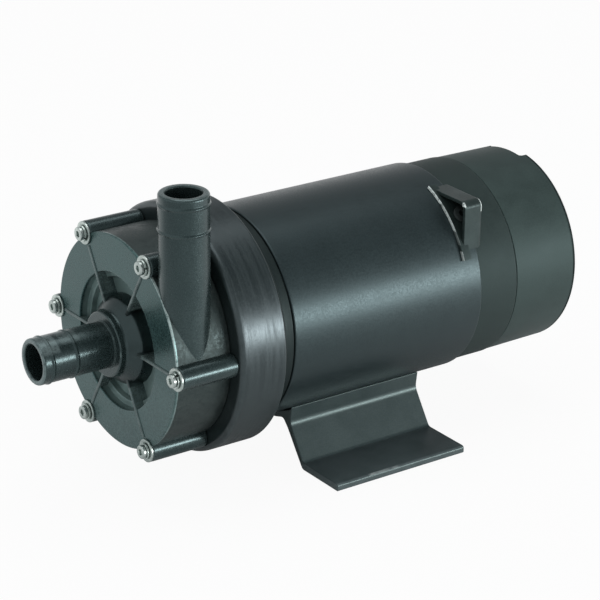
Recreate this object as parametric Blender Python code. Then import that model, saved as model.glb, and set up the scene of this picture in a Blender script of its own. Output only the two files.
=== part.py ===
"""Magnetic drive pump: a sealed centrifugal head on a round motor with a moulded foot.

The shaft line lies along X at the shaft height over the base plane. The suction nozzle points to -X,
the discharge nozzle points up on the -Y side, and the fan cover is at +X.
Angles round the shaft are measured from -Y towards +Z.
"""

import math

import bmesh
import bpy
from mathutils import Matrix, Vector

mm = 0.001

# Fits
seat = 0.3 * mm  # between pieces that touch
running = 0.5 * mm  # between a turning piece and a fixed one

# Lengths along the shaft, from the front to the rear
nozzleReach = 49.6 * mm
casingDepth = 33.2 * mm
bracketDepth = 28.2 * mm
neckDepth = 11.8 * mm
shellLength = 124.1 * mm
rimLength = 26.6 * mm
coverLength = 42.7 * mm
shaftHeight = 82.0 * mm

# Radii of the outer bodies
casingRadius = 58.0 * mm
bracketRim = 8.8 * mm  # from the bolt circle out to the rim
shellRadius = 58.1 * mm
shellWall = 2.6 * mm
rimRadius = shellRadius - 1.5 * mm
coverRadius = shellRadius - 1.9 * mm
coverDraft = 0.5 * mm
coverRearRadius = coverRadius - coverDraft
coverWall = 2.4 * mm

# Cover screws, all on one bolt circle
screwCount = 6
boltCircle = casingRadius + 1.0 * mm
bracketRadius = boltCircle + bracketRim
bossRadius = 6.3 * mm
screwRadius = 2.5 * mm
screwHeadRadius = 4.1 * mm
screwHeadHeight = 3.0 * mm
screwSocket = 2.0 * mm
washerRadius = 6.25 * mm
washerThickness = 1.2 * mm
springWasherRadius = 4.8 * mm
springWasherThickness = 1.2 * mm
screwGrip = 10.0 * mm  # thread in the bracket

# Nozzles
nozzleRadius = 12.4 * mm
nozzleBore = 9.5 * mm
ridgeHeight = 0.6 * mm
ridgeWidth = 1.0 * mm
firstRidge = 5.5 * mm  # from the nozzle's tip
secondRidge = 19.5 * mm
collarRadius = 17.6 * mm
collarReach = 8.1 * mm
collarBaseRadius = 23.5 * mm
dischargeRadius = nozzleRadius + 0.8 * mm
dischargeInset = dischargeRadius + 0.6 * mm  # its front lies just behind the face
dischargeY = -(casingRadius - dischargeRadius - 0.4 * mm)
dischargeTop = 93.0 * mm

# Front casing
recessRadius = 37.2 * mm
recessStep = 4.7 * mm
recessInnerRadius = recessRadius - 3.6 * mm
recessDepth = 8.0 * mm
webThickness = 2.0 * mm
webProud = 0.6 * mm
casingWall = 3.5 * mm
casingFace = 4.5 * mm
voluteInner = recessRadius + 3.6 * mm
voluteSmall = 43.5 * mm
voluteLarge = casingRadius - 9.5 * mm
tongueAngle = 62.0
flangeRadius = casingRadius - 4.8 * mm
flangeThickness = 5.7 * mm

# Impeller and the magnets
impellerRadius = voluteSmall - 7.5 * mm
impellerGap = 1.5 * mm
shroudThickness = 1.6 * mm
impellerBackGap = 3.7 * mm
vaneThickness = 1.8 * mm
vaneCount = 6
eyeRadius = 10.6 * mm
eyeWall = 2.0 * mm
sleeveRadius = 12.0 * mm
bushRadius = 8.6 * mm
spindleRadius = 4.0 * mm
canRadius = 28.4 * mm
canWall = 2.2 * mm
yokeRoom = 16.0 * mm  # from the can's floor back to the motor shell
canDepth = bracketDepth + neckDepth - yokeRoom
magnetGap = 0.8 * mm
magnetRadius = canRadius - canWall - magnetGap
magnetLead = 1.5 * mm  # ahead of the bracket's face
magnetTail = 1.5 * mm
magnetLength = magnetLead + canDepth - magnetTail
canSocketRadius = 9.0 * mm
canSocketDepth = 7.0 * mm
ringMagnetThickness = 5.0 * mm
yokeThickness = 3.6 * mm

# Motor
shaftRadius = 7.5 * mm
shaftNose = 6.0 * mm
bearingRadius = 17.5 * mm
bearingWidth = 11.0 * mm
airGap = 0.6 * mm
statorStart = 34.0 * mm  # behind the front end of the shell
statorRear = 24.1 * mm  # ahead of its rear end
statorLength = shellLength - statorStart - statorRear
rotorRadius = shellRadius - shellWall - 26.0 * mm
slotCount = 12
windingReach = 15.0 * mm
shieldSpigot = 8.0 * mm
fanGap = 1.9 * mm  # to the bosses of the fan cover
fanDepth = 16.0 * mm
fanBlades = 8

# Foot and the cable hood
footLength = 85.8 * mm
footStart = 16.9 * mm
footHalfWidth = 74.0 * mm
footThickness = 4.2 * mm
saddleThickness = 4.0 * mm
saddleHalfWidth = 31.2 * mm
hoodTop = shellRadius - 4.1 * mm
hoodSide = shellRadius - 6.1 * mm
hoodFront = 8.9 * mm  # ahead of the rear end of the shell
hoodLength = 13.0 * mm
hoodLip = 2.4 * mm
hoodWall = 2.0 * mm
hoodCorner = 4.0 * mm

# Facets round a full turn
visibleFacets = 36
nozzleFacets = 18
innerFacets = 18
smallFacets = 12
tinyFacets = 8
bossFacets = 10
shieldFacets = 24

# Stations along X
totalLength = nozzleReach + casingDepth + bracketDepth + neckDepth + shellLength + rimLength + coverLength
tipX = -totalLength / 2
faceX = tipX + nozzleReach
bracketX = faceX + casingDepth
shieldX = bracketX + bracketDepth
shellX = shieldX + neckDepth
rimX = shellX + shellLength
seamX = rimX + rimLength
rearX = seamX + coverLength
shellBore = shellRadius - shellWall

screwAngles = [360.0 * i / screwCount for i in range(screwCount)]


def around(radius, degrees):
    """Y and Z of a point round the shaft line."""
    a = math.radians(degrees)
    return -radius * math.cos(a), radius * math.sin(a)


for leftover in list(bpy.data.objects):
    bpy.data.objects.remove(leftover, do_unlink=True)


def surface(name, colour, metallic, roughness):
    material = bpy.data.materials.new(name)
    material.use_nodes = True
    shader = material.node_tree.nodes["Principled BSDF"]
    shader.inputs["Base Color"].default_value = (*colour, 1.0)
    shader.inputs["Metallic"].default_value = metallic
    shader.inputs["Roughness"].default_value = roughness
    return material


# A solid as a list of points and a list of faces


def turned(profile, segments=innerFacets, sweep=360.0, start=0.0):
    """Turns a closed outline of (x, radius) points about the X line."""
    whole = sweep >= 360.0
    count = segments if whole else segments + 1
    points = []
    index = []
    for x, r in profile:
        if r <= 0.0:
            points.append(Vector((x, 0.0, 0.0)))
            index.append([len(points) - 1] * count)
            continue
        row = []
        for i in range(count):
            y, z = around(r, start + sweep * i / segments)
            row.append(len(points))
            points.append(Vector((x, y, z)))
        index.append(row)
    faces = []
    for k in range(len(profile)):
        a = index[k]
        b = index[(k + 1) % len(profile)]
        if a[0] == a[-1] and b[0] == b[-1]:
            continue
        for i in range(segments):
            j = (i + 1) % count
            loop = []
            for v in (a[i], a[j], b[j], b[i]):
                if v not in loop:
                    loop.append(v)
            faces.append(loop)
    if not whole:
        faces.append([row[0] for row in index])
        faces.append([row[-1] for row in index][::-1])
    return points, faces


def lofted(sections):
    """Joins outlines that have equal numbers of points, given as lists of 3-D points."""
    count = len(sections[0])
    points = [Vector(p) for section in sections for p in section]
    faces = [list(range(count)), [len(points) - 1 - i for i in range(count)]]
    for k in range(len(sections) - 1):
        for i in range(count):
            j = (i + 1) % count
            a = k * count
            b = a + count
            faces.append([a + i, a + j, b + j, b + i])
    return points, faces


def prism(outline, x0, x1):
    """An outline of (y, z) points drawn out along X."""
    return lofted([[(x, y, z) for y, z in outline] for x in (x0, x1)])


def ring_prism(outer, inner, x0, x1):
    """Like prism, with a hole whose outline has as many points as the outer one."""
    count = len(outer)
    points = []
    for x in (x0, x1):
        for outline in (outer, inner):
            points += [Vector((x, y, z)) for y, z in outline]
    faces = []
    for i in range(count):
        j = (i + 1) % count
        faces.append([i, j, count + j, count + i])
        faces.append([2 * count + i, 3 * count + i, 3 * count + j, 2 * count + j])
        faces.append([i, 2 * count + i, 2 * count + j, j])
        faces.append([count + i, count + j, 3 * count + j, 3 * count + i])
    return points, faces


def block(x0, x1, y0, y1, z0, z1):
    return prism([(y0, z0), (y1, z0), (y1, z1), (y0, z1)], x0, x1)


def rod(x0, x1, radius, segments=tinyFacets, at=(0.0, 0.0)):
    """A round bar along X whose middle line passes through the given y and z."""
    body = turned([(x0, 0.0), (x0, radius), (x1, radius), (x1, 0.0)], segments)
    return moved(body, Matrix.Translation((0.0, at[0], at[1])))


def screw_hole(x0, x1, radius, at=(0.0, 0.0)):
    """A hole along X with six sides that all lie one seat outside the screw's radius."""
    return rod(x0, x1, (radius + seat) / math.cos(math.radians(30.0)), 6, at)


def tube(x0, x1, outer, inner, segments=smallFacets, chamfer=0.0):
    if chamfer <= 0.0:
        return turned([(x0, inner), (x0, outer), (x1, outer), (x1, inner)], segments)
    profile = [(x0, inner), (x0, outer - chamfer), (x0 + chamfer, outer)]
    profile += [(x1 - chamfer, outer), (x1, outer - chamfer), (x1, inner)]
    return turned(profile, segments)


def moved(solid, matrix):
    points, faces = solid
    return [matrix @ p for p in points], faces


def upright(solid):
    """Lays a solid turned about X onto the Z line, with +X turned up to +Z."""
    return moved(solid, Matrix.Rotation(math.radians(-90.0), 4, "Y"))


def loose(solid):
    """Puts a solid into the scene as a plain object."""
    points, faces = solid
    mesh = bpy.data.meshes.new("blank")
    mesh.from_pydata([tuple(p) for p in points], [], faces)
    work = bmesh.new()
    work.from_mesh(mesh)
    bmesh.ops.recalc_face_normals(work, faces=work.faces)
    work.to_mesh(mesh)
    work.free()
    item = bpy.data.objects.new("blank", mesh)
    bpy.context.scene.collection.objects.link(item)
    return item


def carve(solid, steps):
    """Applies (operation, solid) steps in turn and returns the finished mesh as a solid."""
    base = loose(solid)
    for operation, other in steps:
        tool = loose(other)
        tool.hide_render = True
        tool.display_type = "WIRE"
        change = base.modifiers.new("cut", "BOOLEAN")
        change.operation = operation
        change.solver = "EXACT"
        change.object = tool
        graph = bpy.context.evaluated_depsgraph_get()
        result = bpy.data.meshes.new_from_object(base.evaluated_get(graph))
        base.modifiers.remove(change)
        base.data = result
        bpy.data.objects.remove(tool, do_unlink=True)
    work = bmesh.new()
    work.from_mesh(base.data)
    bmesh.ops.remove_doubles(work, verts=work.verts, dist=0.02 * mm)
    bmesh.ops.dissolve_degenerate(work, edges=work.edges, dist=0.01 * mm)
    bmesh.ops.dissolve_limit(work, angle_limit=math.radians(0.1), verts=work.verts, edges=work.edges)
    rims = [e for e in work.edges if e.is_boundary]
    if rims:
        bmesh.ops.holes_fill(work, edges=rims, sides=4)
    points = [v.co.copy() for v in work.verts]
    faces = [[v.index for v in f.verts] for f in work.faces]
    work.free()
    bpy.data.objects.remove(base, do_unlink=True)
    return points, faces


def add(*solids):
    return [("UNION", s) for s in solids]


def cut(*solids):
    return [("DIFFERENCE", s) for s in solids]


lift = Matrix.Translation((0.0, 0.0, shaftHeight))


def piece(name, solid, material, origin=(0.0, 0.0, 0.0), sharp=35.0):
    """Makes a named object. Its origin lies at the given point, seen from the shaft line."""
    item = loose(solid)
    item.name = name
    item.data.name = name
    centre = Vector(origin)
    item.data.transform(Matrix.Translation(-centre))
    item.location = lift @ centre
    item.data.materials.append(material)
    for face in item.data.polygons:
        face.use_smooth = True
    item.data.set_sharp_from_angle(angle=math.radians(sharp))
    return item


def copy_piece(source, name, origin, turn=None):
    item = bpy.data.objects.new(name, source.data)
    bpy.context.scene.collection.objects.link(item)
    item.location = lift @ Vector(origin)
    if turn is not None:
        item.rotation_euler = turn
    return item


headPlastic = surface("head_plastic", (0.040, 0.050, 0.048), 0.0, 0.38)
innerPlastic = surface("inner_plastic", (0.060, 0.062, 0.060), 0.0, 0.45)
castPaint = surface("cast_paint", (0.020, 0.024, 0.024), 0.2, 0.35)
shellPaint = surface("shell_paint", (0.014, 0.017, 0.017), 0.1, 0.40)
rearPlastic = surface("rear_plastic", (0.026, 0.032, 0.031), 0.0, 0.50)
stainless = surface("stainless", (0.72, 0.72, 0.70), 1.0, 0.25)
zincSteel = surface("zinc_steel", (0.55, 0.56, 0.57), 1.0, 0.35)
coreSteel = surface("core_steel", (0.32, 0.33, 0.34), 1.0, 0.50)
copperWire = surface("copper_wire", (0.62, 0.24, 0.10), 1.0, 0.40)
ferrite = surface("ferrite", (0.055, 0.055, 0.060), 0.2, 0.60)
ceramic = surface("ceramic", (0.80, 0.78, 0.72), 0.0, 0.20)
carbon = surface("carbon", (0.030, 0.030, 0.032), 0.0, 0.35)
rubber = surface("rubber", (0.020, 0.020, 0.020), 0.0, 0.80)


# Front casing: face, bosses, both nozzles, the webs across the recess and the volute behind them

casingEnd = bracketX - seat
wallX = faceX + recessDepth + casingWall
counterX = casingEnd - flangeThickness - seat
ringPocketX = faceX + 6.5 * mm
spiderX = faceX - 3.0 * mm
spiderLength = 9.0 * mm
spiderRadius = spindleRadius + 2.2 * mm


def ridged(start, end, radius):
    """Outline of a hose nozzle from its tip to its root, with fine ridges."""
    outline = [(start, radius - 0.4 * mm), (start + 0.6 * mm, radius)]
    for station in (firstRidge, secondRidge):
        at = start + station
        outline.append((at - ridgeWidth, radius))
        outline.append((at, radius + ridgeHeight))
        outline.append((at + ridgeWidth, radius))
    outline.append((end, radius))
    return outline


def casing_body():
    edge = 1.0 * mm
    body = turned(
        [
            (faceX, 0.0),
            (faceX, casingRadius - edge),
            (faceX + 0.3 * edge, casingRadius - 0.3 * edge),
            (faceX + edge, casingRadius),
            (casingEnd, casingRadius),
            (casingEnd, 0.0),
        ],
        visibleFacets,
    )
    steps = []
    for angle in screwAngles:
        y, z = around(boltCircle, angle)
        boss = turned(
            [
                (faceX, 0.0),
                (faceX, bossRadius - 0.6 * mm),
                (faceX + 0.6 * mm, bossRadius),
                (casingEnd, bossRadius),
                (casingEnd, 0.0),
            ],
            bossFacets,
        )
        steps += add(moved(boss, Matrix.Translation((0.0, y, z))))
    outline = ridged(-dischargeTop, -1.0 * mm, dischargeRadius)
    outline = [(-along, r) for along, r in outline]
    stack = turned([(dischargeTop, 0.0)] + outline + [(1.0 * mm, 0.0)], nozzleFacets)
    dischargeX = faceX + dischargeInset
    steps += add(moved(upright(stack), Matrix.Translation((dischargeX, dischargeY, 0.0))))
    recess = turned(
        [
            (faceX - 2.0 * mm, 0.0),
            (faceX - 2.0 * mm, recessRadius),
            (faceX + recessStep, recessRadius - 0.4 * mm),
            (faceX + recessStep, recessInnerRadius),
            (faceX + recessDepth, recessInnerRadius - 0.6 * mm),
            (faceX + recessDepth, 0.0),
        ],
        32,
    )
    steps += cut(prism(volute_outline(), faceX + casingFace, counterX + 0.5 * mm))
    steps += add(rod(faceX + 1.0 * mm, wallX, voluteInner, 32))
    steps += cut(recess)
    root = faceX - collarReach
    outline = ridged(tipX, root - 1.2 * mm, nozzleRadius)
    outline += [
        (root, nozzleRadius + 1.2 * mm),
        (root, collarRadius - 0.8 * mm),
        (root + 0.8 * mm, collarRadius),
        (root + 4.0 * mm, collarRadius),
        (faceX - 2.4 * mm, collarRadius + 1.8 * mm),
        (faceX, collarBaseRadius - 1.4 * mm),
        (faceX + 1.6 * mm, collarBaseRadius),
        (faceX + recessDepth + 0.5 * mm, collarBaseRadius + 1.0 * mm),
    ]
    steps += add(turned([(tipX, 0.0)] + outline + [(outline[-1][0], 0.0)], nozzleFacets))
    for angle in screwAngles:
        inner = collarRadius - 2.0 * mm
        outer = boltCircle - washerRadius - 0.8 * mm
        web = block(
            faceX - webProud,
            faceX + recessDepth + 0.6 * mm,
            inner,
            outer,
            -webThickness / 2,
            webThickness / 2,
        )
        steps += add(moved(web, Matrix.Rotation(math.radians(180.0 - angle), 4, "X")))
    return body, steps


def volute_outline():
    outline = []
    count = 24
    for i in range(count):
        angle = tongueAngle + 360.0 * i / count
        growth = min(1.0, (angle - tongueAngle) / 300.0)
        outline.append(around(voluteSmall + (voluteLarge - voluteSmall) * growth, angle))
    return outline


def casing_hollows():
    dischargeX = faceX + dischargeInset
    outlet = turned(
        [
            (-2.0 * mm, 0.0),
            (-2.0 * mm, nozzleBore - 2.0 * mm),
            (1.0 * mm, nozzleBore),
            (dischargeTop + 1.0 * mm, nozzleBore),
            (dischargeTop + 1.0 * mm, 0.0),
        ],
        smallFacets,
    )
    hollows = [
        rod(counterX, casingEnd + 1.0 * mm, flangeRadius + seat, innerFacets),
        turned(
            [
                (tipX - 1.0 * mm, 0.0),
                (tipX - 1.0 * mm, nozzleBore + 1.0 * mm),
                (tipX + 1.2 * mm, nozzleBore),
                (spiderX - 2.0 * mm, nozzleBore),
                (spiderX, eyeRadius),
                (wallX + 1.0 * mm, eyeRadius),
                (wallX + 1.0 * mm, 0.0),
            ],
            innerFacets,
        ),
        rod(ringPocketX, wallX + 1.0 * mm, eyeRadius + eyeWall + 3.6 * mm, innerFacets),
        moved(upright(outlet), Matrix.Translation((dischargeX, dischargeY, 0.0))),
    ]
    for angle in screwAngles:
        hollows.append(
            screw_hole(faceX - 1.0 * mm, casingEnd + 1.0 * mm, screwRadius, around(boltCircle, angle))
        )
    return hollows


def spider():
    """Three arms in the suction bore that hold the front end of the spindle."""
    steps = add(rod(spiderX, spiderX + spiderLength, spiderRadius))
    for angle in (90.0, 210.0, 330.0):
        arm = block(
            spiderX + 1.0 * mm,
            spiderX + spiderLength - 1.0 * mm,
            spindleRadius + 0.8 * mm,
            eyeRadius + 1.5 * mm,
            -0.9 * mm,
            0.9 * mm,
        )
        steps += add(moved(arm, Matrix.Rotation(math.radians(180.0 - angle), 4, "X")))
    steps += cut(rod(spiderX + 1.5 * mm, spiderX + spiderLength + 1.0 * mm, spindleRadius + seat))
    return steps


casingStart, casingSteps = casing_body()
front_casing = piece(
    "front_casing",
    carve(casingStart, casingSteps + cut(*casing_hollows()) + spider()),
    headPlastic,
)


# Containment shell behind the impeller, its O-ring and the fixed ceramic spindle

flangeX = counterX + seat
canEnd = bracketX + canDepth + 2.6 * mm
canFloor = canEnd - 2.6 * mm
grooveRadius = flangeRadius - 2.2 * mm
cord = 1.2 * mm

piece(
    "rear_casing",
    turned(
        [
            (flangeX, canRadius - canWall),
            (flangeX, grooveRadius - cord - seat),
            (flangeX + 2 * cord, grooveRadius - cord - seat),
            (flangeX + 2 * cord, grooveRadius + cord + seat),
            (flangeX, grooveRadius + cord + seat),
            (flangeX, flangeRadius),
            (flangeX + flangeThickness, flangeRadius),
            (flangeX + flangeThickness, canRadius + 1.2 * mm),
            (flangeX + flangeThickness + 1.2 * mm, canRadius),
            (canEnd - 2.0 * mm, canRadius),
            (canEnd, canRadius - 2.0 * mm),
            (canEnd, 0.0),
            (canFloor, 0.0),
            (canFloor, spindleRadius + seat),
            (canFloor - canSocketDepth, spindleRadius + seat),
            (canFloor - canSocketDepth, canSocketRadius),
            (canFloor, canSocketRadius),
            (canFloor, canRadius - canWall),
        ],
        innerFacets,
    ),
    innerPlastic,
)

cordOutline = []
for i in range(5):
    a = math.radians(72.0 * i)
    cordOutline.append((flangeX + cord + cord * math.cos(a) * 0.94, grooveRadius + cord * math.sin(a)))
piece("casing_o_ring", turned(cordOutline), rubber)

spindleStart = spiderX + 1.5 * mm + seat
spindleEnd = canFloor - seat
piece(
    "pump_spindle",
    turned(
        [
            (spindleStart, 0.0),
            (spindleStart, spindleRadius - 0.5 * mm),
            (spindleStart + 0.5 * mm, spindleRadius),
            (spindleEnd - 0.5 * mm, spindleRadius),
            (spindleEnd, spindleRadius - 0.5 * mm),
            (spindleEnd, 0.0),
        ],
        tinyFacets,
    ),
    ceramic,
)


# Impeller with its bush, mouth ring, thrust rings and driven magnet

shroudX = wallX + impellerGap
vaneX = shroudX + shroudThickness
backX = flangeX - impellerBackGap - shroudThickness
vaneHeight = backX - vaneX
hubEndX = backX + shroudThickness
thrustThickness = 2.0 * mm
frontThrustX = spiderX + spiderLength + seat
bushX = frontThrustX + thrustThickness + running
rearThrustX = canFloor - canSocketDepth - seat - thrustThickness
bushEndX = rearThrustX - running
magnetX = bracketX - magnetLead
magnetEndX = magnetX + magnetLength
spindleHole = spindleRadius + 0.3 * mm


def vane(angle):
    """A backward-curved vane as an outline round the shaft, drawn out between the shrouds."""
    steps = 5
    sides = ([], [])
    for i in range(steps):
        t = i / (steps - 1)
        r = eyeRadius + 1.6 * mm + (impellerRadius - 0.5 * mm - eyeRadius - 1.6 * mm) * t
        lean = -68.0 * t**0.9
        half = math.degrees(vaneThickness / 2 / r) * (1.3 - 0.6 * t)
        sides[0].append(around(r, angle + lean - half))
        sides[1].append(around(r, angle + lean + half))
    return prism(sides[0] + sides[1][::-1], vaneX - 0.5 * mm, backX + 0.5 * mm)


def impeller_solid():
    hub = bushRadius + seat
    body = turned(
        [
            (backX, hub),
            (vaneX + 0.25 * vaneHeight, hub),
            (vaneX + 0.25 * vaneHeight, hub + 0.9 * mm),
            (backX - 0.25 * vaneHeight, hub + 2.0 * mm),
            (backX, hub + 4.0 * mm),
            (backX, impellerRadius),
            (hubEndX, impellerRadius),
            (hubEndX, sleeveRadius + 7.0 * mm),
            (magnetX - seat, sleeveRadius + 6.0 * mm),
            (magnetX - seat, sleeveRadius),
            (bushEndX, sleeveRadius),
            (bushEndX, hub),
        ],
        smallFacets,
    )
    neck = eyeRadius + eyeWall
    front = turned(
        [
            (ringPocketX + 1.5 * mm, eyeRadius),
            (ringPocketX + 1.5 * mm, neck),
            (shroudX - 0.8 * mm, neck),
            (shroudX, neck + 0.8 * mm),
            (shroudX, impellerRadius),
            (vaneX, impellerRadius),
            (vaneX, eyeRadius + 1.2 * mm),
            (vaneX - 1.2 * mm, eyeRadius),
        ],
        smallFacets,
    )
    vanes = [vane(360.0 * i / vaneCount) for i in range(vaneCount)]
    return carve(body, add(*vanes) + add(front))


piece("impeller", impeller_solid(), innerPlastic)
piece("impeller_bush", tube(bushX, bushEndX, bushRadius, spindleHole), carbon)
piece(
    "driven_magnet",
    tube(magnetX, magnetEndX, magnetRadius, sleeveRadius + seat),
    ferrite,
)
piece(
    "mouth_ring",
    tube(
        ringPocketX + seat,
        wallX - 0.2 * mm,
        eyeRadius + eyeWall + 3.6 * mm - seat,
        eyeRadius + eyeWall + running,
        innerFacets,
    ),
    ceramic,
)
thrustTube = (bushRadius - 1.0 * mm, spindleHole, tinyFacets)
piece("front_thrust_ring", tube(frontThrustX, frontThrustX + thrustThickness, *thrustTube), ceramic)
piece("rear_thrust_ring", tube(rearThrustX, rearThrustX + thrustThickness, *thrustTube), ceramic)


# Cover screws with their spring washers and flat washers


def screw_blank(headRadius, headHeight, shank, length, segments):
    """A screw whose head rests on x = 0 and points to -X."""
    edge = 0.12 * headRadius
    return turned(
        [
            (-headHeight, 0.0),
            (-headHeight, headRadius - edge),
            (-headHeight + edge, headRadius),
            (0.0, headRadius),
            (0.0, shank),
            (length, shank),
            (length, 0.0),
        ],
        segments,
    )


def cover_screw(length):
    """A cover screw with its hexagon socket."""
    corner = screwSocket / math.cos(math.radians(30.0))
    blank = screw_blank(screwHeadRadius, screwHeadHeight, screwRadius, length, 10)
    return carve(blank, cut(rod(-screwHeadHeight - 1.0 * mm, -0.4 * screwHeadHeight, corner, 6)))


washerX = faceX - seat
springX = washerX - washerThickness - seat
headX = springX - springWasherThickness - seat
gripEnd = bracketX + screwGrip
firstScrew = None
for number, angle in enumerate(screwAngles, 1):
    y, z = around(boltCircle, angle)
    if firstScrew is None:
        firstScrew = piece(
            "cover_screw_1",
            moved(cover_screw(gripEnd - headX), Matrix.Translation((headX, y, z))),
            stainless,
            (headX, y, z),
        )
        firstSpring = piece(
            "spring_washer_1",
            moved(
                turned(
                    [
                        (springX - springWasherThickness, screwRadius + seat),
                        (springX - springWasherThickness, springWasherRadius),
                        (springX, springWasherRadius),
                        (springX, screwRadius + seat),
                    ],
                    10,
                    348.0,
                    96.0,
                ),
                Matrix.Translation((0.0, y, z)),
            ),
            stainless,
            (springX, y, z),
        )
        firstWasher = piece(
            "flat_washer_1",
            moved(
                tube(washerX - washerThickness, washerX, washerRadius, screwRadius + seat),
                Matrix.Translation((0.0, y, z)),
            ),
            stainless,
            (washerX, y, z),
        )
        continue
    spin = (math.radians(37.0 * number), 0.0, 0.0)
    copy_piece(firstScrew, f"cover_screw_{number}", (headX, y, z), spin)
    copy_piece(firstSpring, f"spring_washer_{number}", (springX, y, z), spin)
    copy_piece(firstWasher, f"flat_washer_{number}", (washerX, y, z))


# Bracket between the pump head and the motor

bracketWall = 6.0 * mm
bracketBore = bracketRadius - 6.8 * mm
bracketFrontBore = flangeRadius - 3.6 * mm
bracketEnd = shieldX - seat
rearWallX = bracketEnd - 5.0 * mm
mountCircle = bracketBore - 13.8 * mm
bracketRearBore = mountCircle - 5.7 * mm
mountAngles = [45.0, 135.0, 225.0, 315.0]
mountScrewRadius = 2.5 * mm


def bracket_solid():
    front = 2.4 * mm
    rear = 1.0 * mm
    body = turned(
        [
            (bracketX, bracketFrontBore),
            (bracketX, bracketRadius - front),
            (bracketX + front, bracketRadius),
            (bracketEnd - rear, bracketRadius),
            (bracketEnd, bracketRadius - rear),
            (bracketEnd, bracketRearBore),
            (rearWallX, bracketRearBore),
            (rearWallX, bracketBore),
            (bracketX + bracketWall, bracketBore),
            (bracketX + bracketWall, bracketFrontBore),
        ],
        visibleFacets,
    )
    steps = []
    for angle in screwAngles:
        at = around(boltCircle, angle)
        steps += add(rod(bracketX + bracketWall - 1.0 * mm, gripEnd + 3.0 * mm, 5.4 * mm, 6, at))
    for angle in screwAngles:
        at = around(boltCircle, angle)
        steps += cut(screw_hole(bracketX - 1.0 * mm, gripEnd + 1.0 * mm, screwRadius, at))
    for angle in mountAngles:
        at = around(mountCircle, angle)
        steps += cut(screw_hole(rearWallX - 1.0 * mm, bracketEnd + 1.0 * mm, mountScrewRadius, at))
    return carve(body, steps)


piece("bracket", bracket_solid(), castPaint)


# Drive magnet on the motor shaft, round the containment shell

ringMagnetBore = canRadius + 1.2 * mm
ringMagnetRadius = ringMagnetBore + ringMagnetThickness
yokeBore = ringMagnetRadius + seat
yokeRadius = yokeBore + yokeThickness
yokePlateX = canEnd + 1.2 * mm
yokePlate = 4.0 * mm
yokeFrontX = bracketX + 2.5 * mm
yokeHubRadius = 13.0 * mm
shieldRecessX = shellX - 2.5 * mm
yokeHubEnd = shieldRecessX - 1.0 * mm
setScrewX = (yokePlateX + yokePlate + yokeHubEnd) / 2

piece(
    "drive_magnet_yoke",
    carve(
        turned(
            [
                (yokeFrontX, yokeBore),
                (yokeFrontX, yokeRadius),
                (yokePlateX + yokePlate - 2.0 * mm, yokeRadius),
                (yokePlateX + yokePlate, yokeRadius - 2.0 * mm),
                (yokePlateX + yokePlate, yokeHubRadius),
                (yokeHubEnd, yokeHubRadius),
                (yokeHubEnd, shaftNose + seat),
                (yokePlateX, shaftNose + seat),
                (yokePlateX, yokeBore),
            ],
            innerFacets,
        ),
        cut(
            moved(
                upright(rod(shaftNose - 1.0 * mm, yokeHubRadius + 2.0 * mm, 1.9 * mm, 8)),
                Matrix.Translation((setScrewX, 0.0, 0.0)),
            )
        ),
    ),
    zincSteel,
)
piece(
    "drive_magnet",
    tube(yokeFrontX + seat, yokePlateX - 2.0 * mm, ringMagnetRadius, ringMagnetBore, innerFacets),
    ferrite,
)
setScrew = rod(shaftNose + seat, yokeHubRadius - 0.6 * mm, 1.6 * mm, 8)
piece(
    "yoke_set_screw",
    moved(upright(setScrew), Matrix.Translation((setScrewX, 0.0, 0.0))),
    stainless,
)


# Motor end shields, bearings and shell

shieldLip = bracketRadius - 6.2 * mm
shieldNeck = shellRadius - 1.5 * mm
spigotRadius = shellBore - seat
frontBearingX = shellX + 1.0 * mm
rearBearingX = rimX + 2.0 * mm
bearingSeat = bearingRadius + seat
bearingBore = shaftRadius + seat
hubWall = 4.5 * mm


def front_shield_solid():
    body = turned(
        [
            (shieldX, bracketRearBore + 1.0 * mm),
            (shieldX, shieldLip - 0.5 * mm),
            (shieldX + 0.5 * mm, shieldLip),
            (shieldX + 4.7 * mm, shieldLip),
            (shieldX + 4.7 * mm, shieldNeck),
            (shellX - seat, shieldNeck),
            (shellX - seat, spigotRadius),
            (shellX + shieldSpigot, spigotRadius),
            (shellX + shieldSpigot, spigotRadius - 3.0 * mm),
            (shellX + 1.5 * mm, spigotRadius - 4.0 * mm),
            (shellX + 1.5 * mm, bearingSeat + hubWall + 1.0 * mm),
            (frontBearingX + bearingWidth, bearingSeat + hubWall),
            (frontBearingX + bearingWidth, bearingSeat),
            (frontBearingX - seat, bearingSeat),
            (frontBearingX - seat, shaftRadius + 1.5 * mm),
            (shieldRecessX, shaftRadius + 1.5 * mm),
            (shieldRecessX, bracketRearBore + 1.0 * mm),
        ],
        shieldFacets,
    )
    steps = []
    for angle in mountAngles:
        at = around(mountCircle, angle)
        steps += cut(screw_hole(shieldX - 1.0 * mm, shieldX + 9.5 * mm, mountScrewRadius, at))
    return carve(body, steps)


piece("front_shield", front_shield_solid(), castPaint)

mountHeadX = rearWallX - seat
firstMount = None
for number, angle in enumerate(mountAngles, 1):
    y, z = around(mountCircle, angle)
    if firstMount is None:
        firstMount = piece(
            "bracket_screw_1",
            moved(
                screw_blank(4.2 * mm, 4.5 * mm, mountScrewRadius, 13.5 * mm, 6),
                Matrix.Translation((mountHeadX, y, z)),
            ),
            zincSteel,
            (mountHeadX, y, z),
        )
        continue
    copy_piece(firstMount, f"bracket_screw_{number}", (mountHeadX, y, z))


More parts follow.
